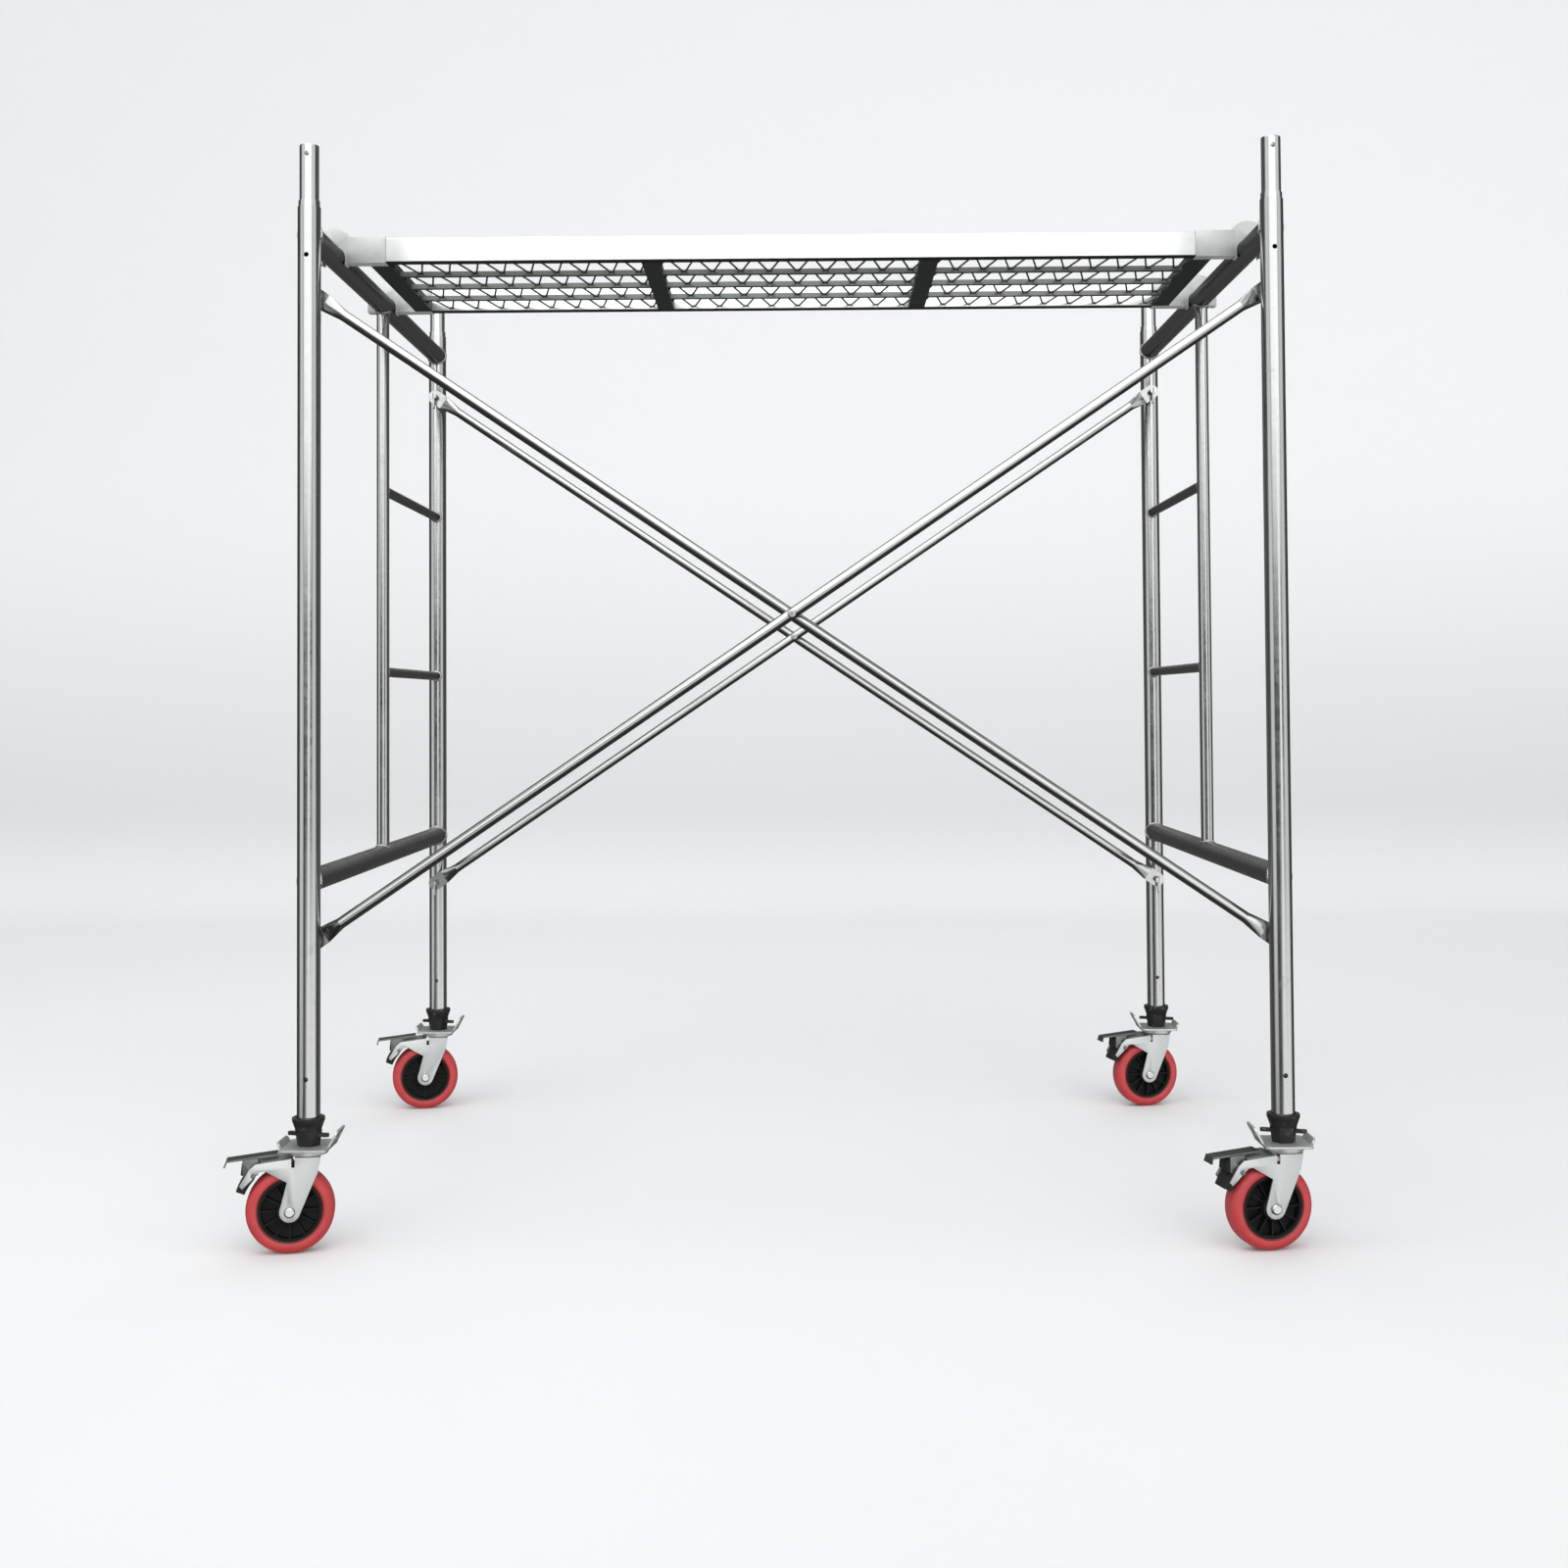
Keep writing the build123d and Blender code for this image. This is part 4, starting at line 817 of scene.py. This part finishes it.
class SCAFFOLD_OT_sheet_parts(bpy.types.Operator):
    """Rolls the edges of the forks, pedals, plates, shoes, collars and latches"""

    bl_idname = "scaffold.sheet_parts"
    bl_label = "Roll Sheet Edges"

    def execute(self, context):
        roll = context.scene.scaffold_metal.edge_roll
        softened("caster_top_plates", "caster_plates_rolled", "zinc_plate", "frame", roll)
        softened("caster_collars", "caster_collars_rolled", "black_metal", "frame", roll * 1.5)
        softened("caster_stem_nuts", "caster_nuts_rolled", "black_metal", "frame", roll * 1.5)
        for corner in CORNERS:
            softened(f"{corner}_fork", f"{corner}_fork_rolled", "zinc_plate", f"{corner}_swivel", roll)
            softened(f"{corner}_brake_pedal", f"{corner}_pedal_rolled", "zinc_plate",
                     f"{corner}_brake", roll, look="pedal_steel")
            softened(f"{corner}_brake_shoe", f"{corner}_shoe_rolled", "black_rubber",
                     f"{corner}_brake", roll * 2)
            softened(f"{corner}_hub", f"{corner}_hub_rolled", "black_plastic",
                     f"{corner}_wheel", roll * 0.8)
            for level in ("lower", "upper"):
                name = f"{corner}_{level}_latch"
                softened(name, f"{name}_rolled", "zinc_plate", name, roll * 0.7)
        return {"FINISHED"}


# ---- Stage -------------------------------------------------------------------------------------
CAMERA_PITCH, CAMERA_YAW, CAMERA_ROLL = 0.026314, -0.0094, -0.005974
# Beside the bay's middle, in front of it, and below the posts' shoulders.
CAMERA_ASIDE, CAMERA_Y, CAMERA_DROP = 0.01759, -4.03799, 0.93705
CAMERA_SHIFT, SENSOR_WIDTH, CLIP_END = -0.08155, 36.0, 60.0

# The floor sweep, in metres: front edge, back wall, half width, bend radius and wall height.
SWEEP_FRONT, SWEEP_BACK, SWEEP_REACH, SWEEP_BEND, SWEEP_WALL = -9.0, 7.0, 8.5, 2.5, 9.0
SWEEP_STEPS = 16
SWEEP_CUTS = (-4.0, 0.0)

LAMP_SIZE, LAMP_ASIDE, LAMP_Y, LAMP_Z, LAMP_AIM_Y = (5.0, 4.0), -0.6, -1.2, 4.6, 0.2

# The studio's light comes from patches of the world's sphere. Each edge runs from dark to full,
# either in radians round from the camera's side or in height, the sine of the angle above level.
PANEL_SIDE, PANEL_FOOT, PANEL_HEAD = (0.95, 0.55), (0.04, 0.14), (0.85, 0.70)
STRIP_TURN, STRIP_SIDE, STRIP_FOOT, STRIP_HEAD = 0.26, (0.26, 0.08), (-0.30, -0.10), (0.3, 0.1)
WING_TURN, WING_SIDE, WING_FOOT, WING_HEAD = 1.15, (0.42, 0.20), (-0.35, -0.1), (0.75, 0.5)
GROUND_LEFT, GROUND_SIDE = (-0.5, 0.1), (1.7, 1.35)
GROUND_HEAD, GROUND_FOOT = (-0.03, -0.14), (-0.60, -0.35)
REAR_SIDE, TOP_FOOT = (2.2, 2.6), (0.45, 0.85)
STRIP_SHARE, WING_SHARE, GROUND_SHARE, REAR_LEVEL = 0.80, 0.50, 0.66, 0.22
LIGHT_COLOUR = (0.985, 0.995, 1.0)


def camera_matrix():
    """The camera stands in front of the bay, a little below middle height, nearly level."""
    cos_pitch = math.cos(CAMERA_PITCH)
    forward = Vector((math.sin(CAMERA_YAW) * cos_pitch, math.cos(CAMERA_YAW) * cos_pitch,
                      math.sin(CAMERA_PITCH)))
    right = Vector((math.cos(CAMERA_YAW), -math.sin(CAMERA_YAW), 0))
    up = right.cross(forward)
    tilted = right * math.cos(CAMERA_ROLL) + up * math.sin(CAMERA_ROLL)
    upright = up * math.cos(CAMERA_ROLL) - right * math.sin(CAMERA_ROLL)
    turn = Matrix((tilted, upright, -forward)).transposed().to_4x4()
    place = (BAY_X + CAMERA_ASIDE, CAMERA_Y, SHOULDER - CAMERA_DROP)
    return Matrix.Translation(place) @ turn


def studio_world(stage):
    """A bright panel in front, a low strip, two wings and lit ground; dimmer behind, above and beside."""
    world = bpy.data.worlds.new("studio")
    world.use_nodes = True
    graph = Graph(world.node_tree)
    way = graph.node("ShaderNodeTexCoord", out="Generated")
    axes = graph.node("ShaderNodeSeparateXYZ", {}, {"Vector": way}, "X")
    height = axes.out("Z")
    turn = axes.maths("ARCTAN2", axes, 0.0 - axes.out("Y"))
    aside = turn.maths("ABSOLUTE", turn)

    def patch(across, side, foot, head):
        return graph.step(across, *side) * graph.step(height, *foot) * graph.step(height, *head)

    panel = patch(aside, PANEL_SIDE, PANEL_FOOT, PANEL_HEAD)
    off_strip = turn.maths("ABSOLUTE", turn - STRIP_TURN)
    strip = patch(off_strip, STRIP_SIDE, STRIP_FOOT, STRIP_HEAD)
    off_wing = turn.maths("ABSOLUTE", aside - WING_TURN)
    wings = patch(off_wing, WING_SIDE, WING_FOOT, WING_HEAD)
    ground = graph.step(turn, *GROUND_LEFT) * graph.step(aside, *GROUND_SIDE)
    ground = ground * graph.step(height, *GROUND_HEAD) * graph.step(height, *GROUND_FOOT)
    rear = graph.step(aside, *REAR_SIDE) * REAR_LEVEL
    top = graph.step(height, *TOP_FOOT)
    level = panel
    for part, share in ((strip, STRIP_SHARE), (wings, WING_SHARE), (ground, GROUND_SHARE)):
        level = level.maths("MAXIMUM", level, part * share)
    level = level * stage.front_level + rear + top * stage.top_level + stage.side_level
    light = graph.node("ShaderNodeBackground", {}, {"Color": rgba(LIGHT_COLOUR), "Strength": level})
    graph.node("ShaderNodeOutputWorld", {}, {"Surface": light})
    bpy.context.scene.world = world


class SCAFFOLD_OT_stage(bpy.types.Operator):
    """Sets the floor sweep, the studio's light and the camera"""

    bl_idname = "scaffold.stage"
    bl_label = "Set Stage"

    def execute(self, context):
        stage = context.scene.scaffold_stage
        foot = SWEEP_BACK - SWEEP_BEND
        line = [(along, 0.0) for along in (SWEEP_FRONT, *SWEEP_CUTS, foot)]
        for i in range(1, SWEEP_STEPS + 1):
            turn = math.radians(90 * i / SWEEP_STEPS)
            line.append((foot + SWEEP_BEND * math.sin(turn), SWEEP_BEND * (1 - math.cos(turn))))
        line.append((SWEEP_BACK, SWEEP_WALL))
        points = [(x, y, z) for y, z in line for x in (-SWEEP_REACH, SWEEP_REACH)]
        faces = [(2 * i, 2 * i + 1, 2 * i + 3, 2 * i + 2) for i in range(len(line) - 1)]
        mesh = bpy.data.meshes.new("floor_sweep")
        mesh.from_pydata(points, [], faces)
        mesh.shade_smooth()
        mesh.materials.append(floor_finish("floor_paper", tuple(stage.floor_colour)))
        floor = bpy.data.objects.new("floor_sweep", mesh)
        context.scene.collection.objects.link(floor)
        floor.visible_glossy = False

        lamp = bpy.data.lights.new("overhead", "AREA")
        lamp.shape, lamp.energy = "RECTANGLE", stage.key_power
        lamp.size, lamp.size_y = LAMP_SIZE
        overhead = bpy.data.objects.new("overhead", lamp)
        overhead.location = (BAY_X + LAMP_ASIDE, LAMP_Y, LAMP_Z)
        aim = Vector((BAY_X, LAMP_AIM_Y, 0.0)) - overhead.location
        overhead.rotation_euler = aim.to_track_quat("-Z", "Y").to_euler()
        context.scene.collection.objects.link(overhead)
        studio_world(stage)

        view = bpy.data.cameras.new("camera")
        view.lens, view.sensor_width = stage.lens, SENSOR_WIDTH
        view.shift_y, view.clip_end = CAMERA_SHIFT, CLIP_END
        camera = bpy.data.objects.new("camera", view)
        camera.matrix_world = camera_matrix()
        context.scene.collection.objects.link(camera)
        context.scene.camera = camera
        context.scene.view_settings.view_transform = "Standard"
        return {"FINISHED"}


# ---- Panel and registration --------------------------------------------------------------------
OPERATORS = (SCAFFOLD_OT_finishes, SCAFFOLD_OT_welds, SCAFFOLD_OT_deck, SCAFFOLD_OT_wheels,
             SCAFFOLD_OT_sheet_parts, SCAFFOLD_OT_stage)
SETTINGS = {
    "scaffold_welds": ScaffoldWeldSettings,
    "scaffold_deck": ScaffoldDeckSettings,
    "scaffold_wheels": ScaffoldWheelSettings,
    "scaffold_metal": ScaffoldMetalSettings,
    "scaffold_stage": ScaffoldStageSettings,
}


class SCAFFOLD_PT_panel(bpy.types.Panel):
    """Sizes, colours and steps of the scaffold"""

    bl_idname = "SCAFFOLD_PT_panel"
    bl_label = "Rolling Scaffold"
    bl_space_type = "VIEW_3D"
    bl_region_type = "UI"
    bl_category = "Scaffold"

    def draw(self, context):
        for name, group in SETTINGS.items():
            box = self.layout.box()
            for key in group.__annotations__:
                box.prop(getattr(context.scene, name), key)
        for operator in OPERATORS:
            self.layout.operator(operator.bl_idname)


def register():
    for group in SETTINGS.values():
        bpy.utils.register_class(group)
    for name, group in SETTINGS.items():
        setattr(bpy.types.Scene, name, PointerProperty(type=group))
    for made in (*OPERATORS, SCAFFOLD_PT_panel):
        bpy.utils.register_class(made)


def unregister():
    for made in (SCAFFOLD_PT_panel, *reversed(OPERATORS)):
        bpy.utils.unregister_class(made)
    for name, group in SETTINGS.items():
        delattr(bpy.types.Scene, name)
        bpy.utils.unregister_class(group)


def main():
    register()
    bpy.ops.scaffold.finishes()
    bpy.ops.scaffold.welds()
    bpy.ops.scaffold.deck()
    bpy.ops.scaffold.wheels()
    bpy.ops.scaffold.sheet_parts()
    bpy.ops.scaffold.stage()
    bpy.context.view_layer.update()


if __name__ == "__main__":
    main()
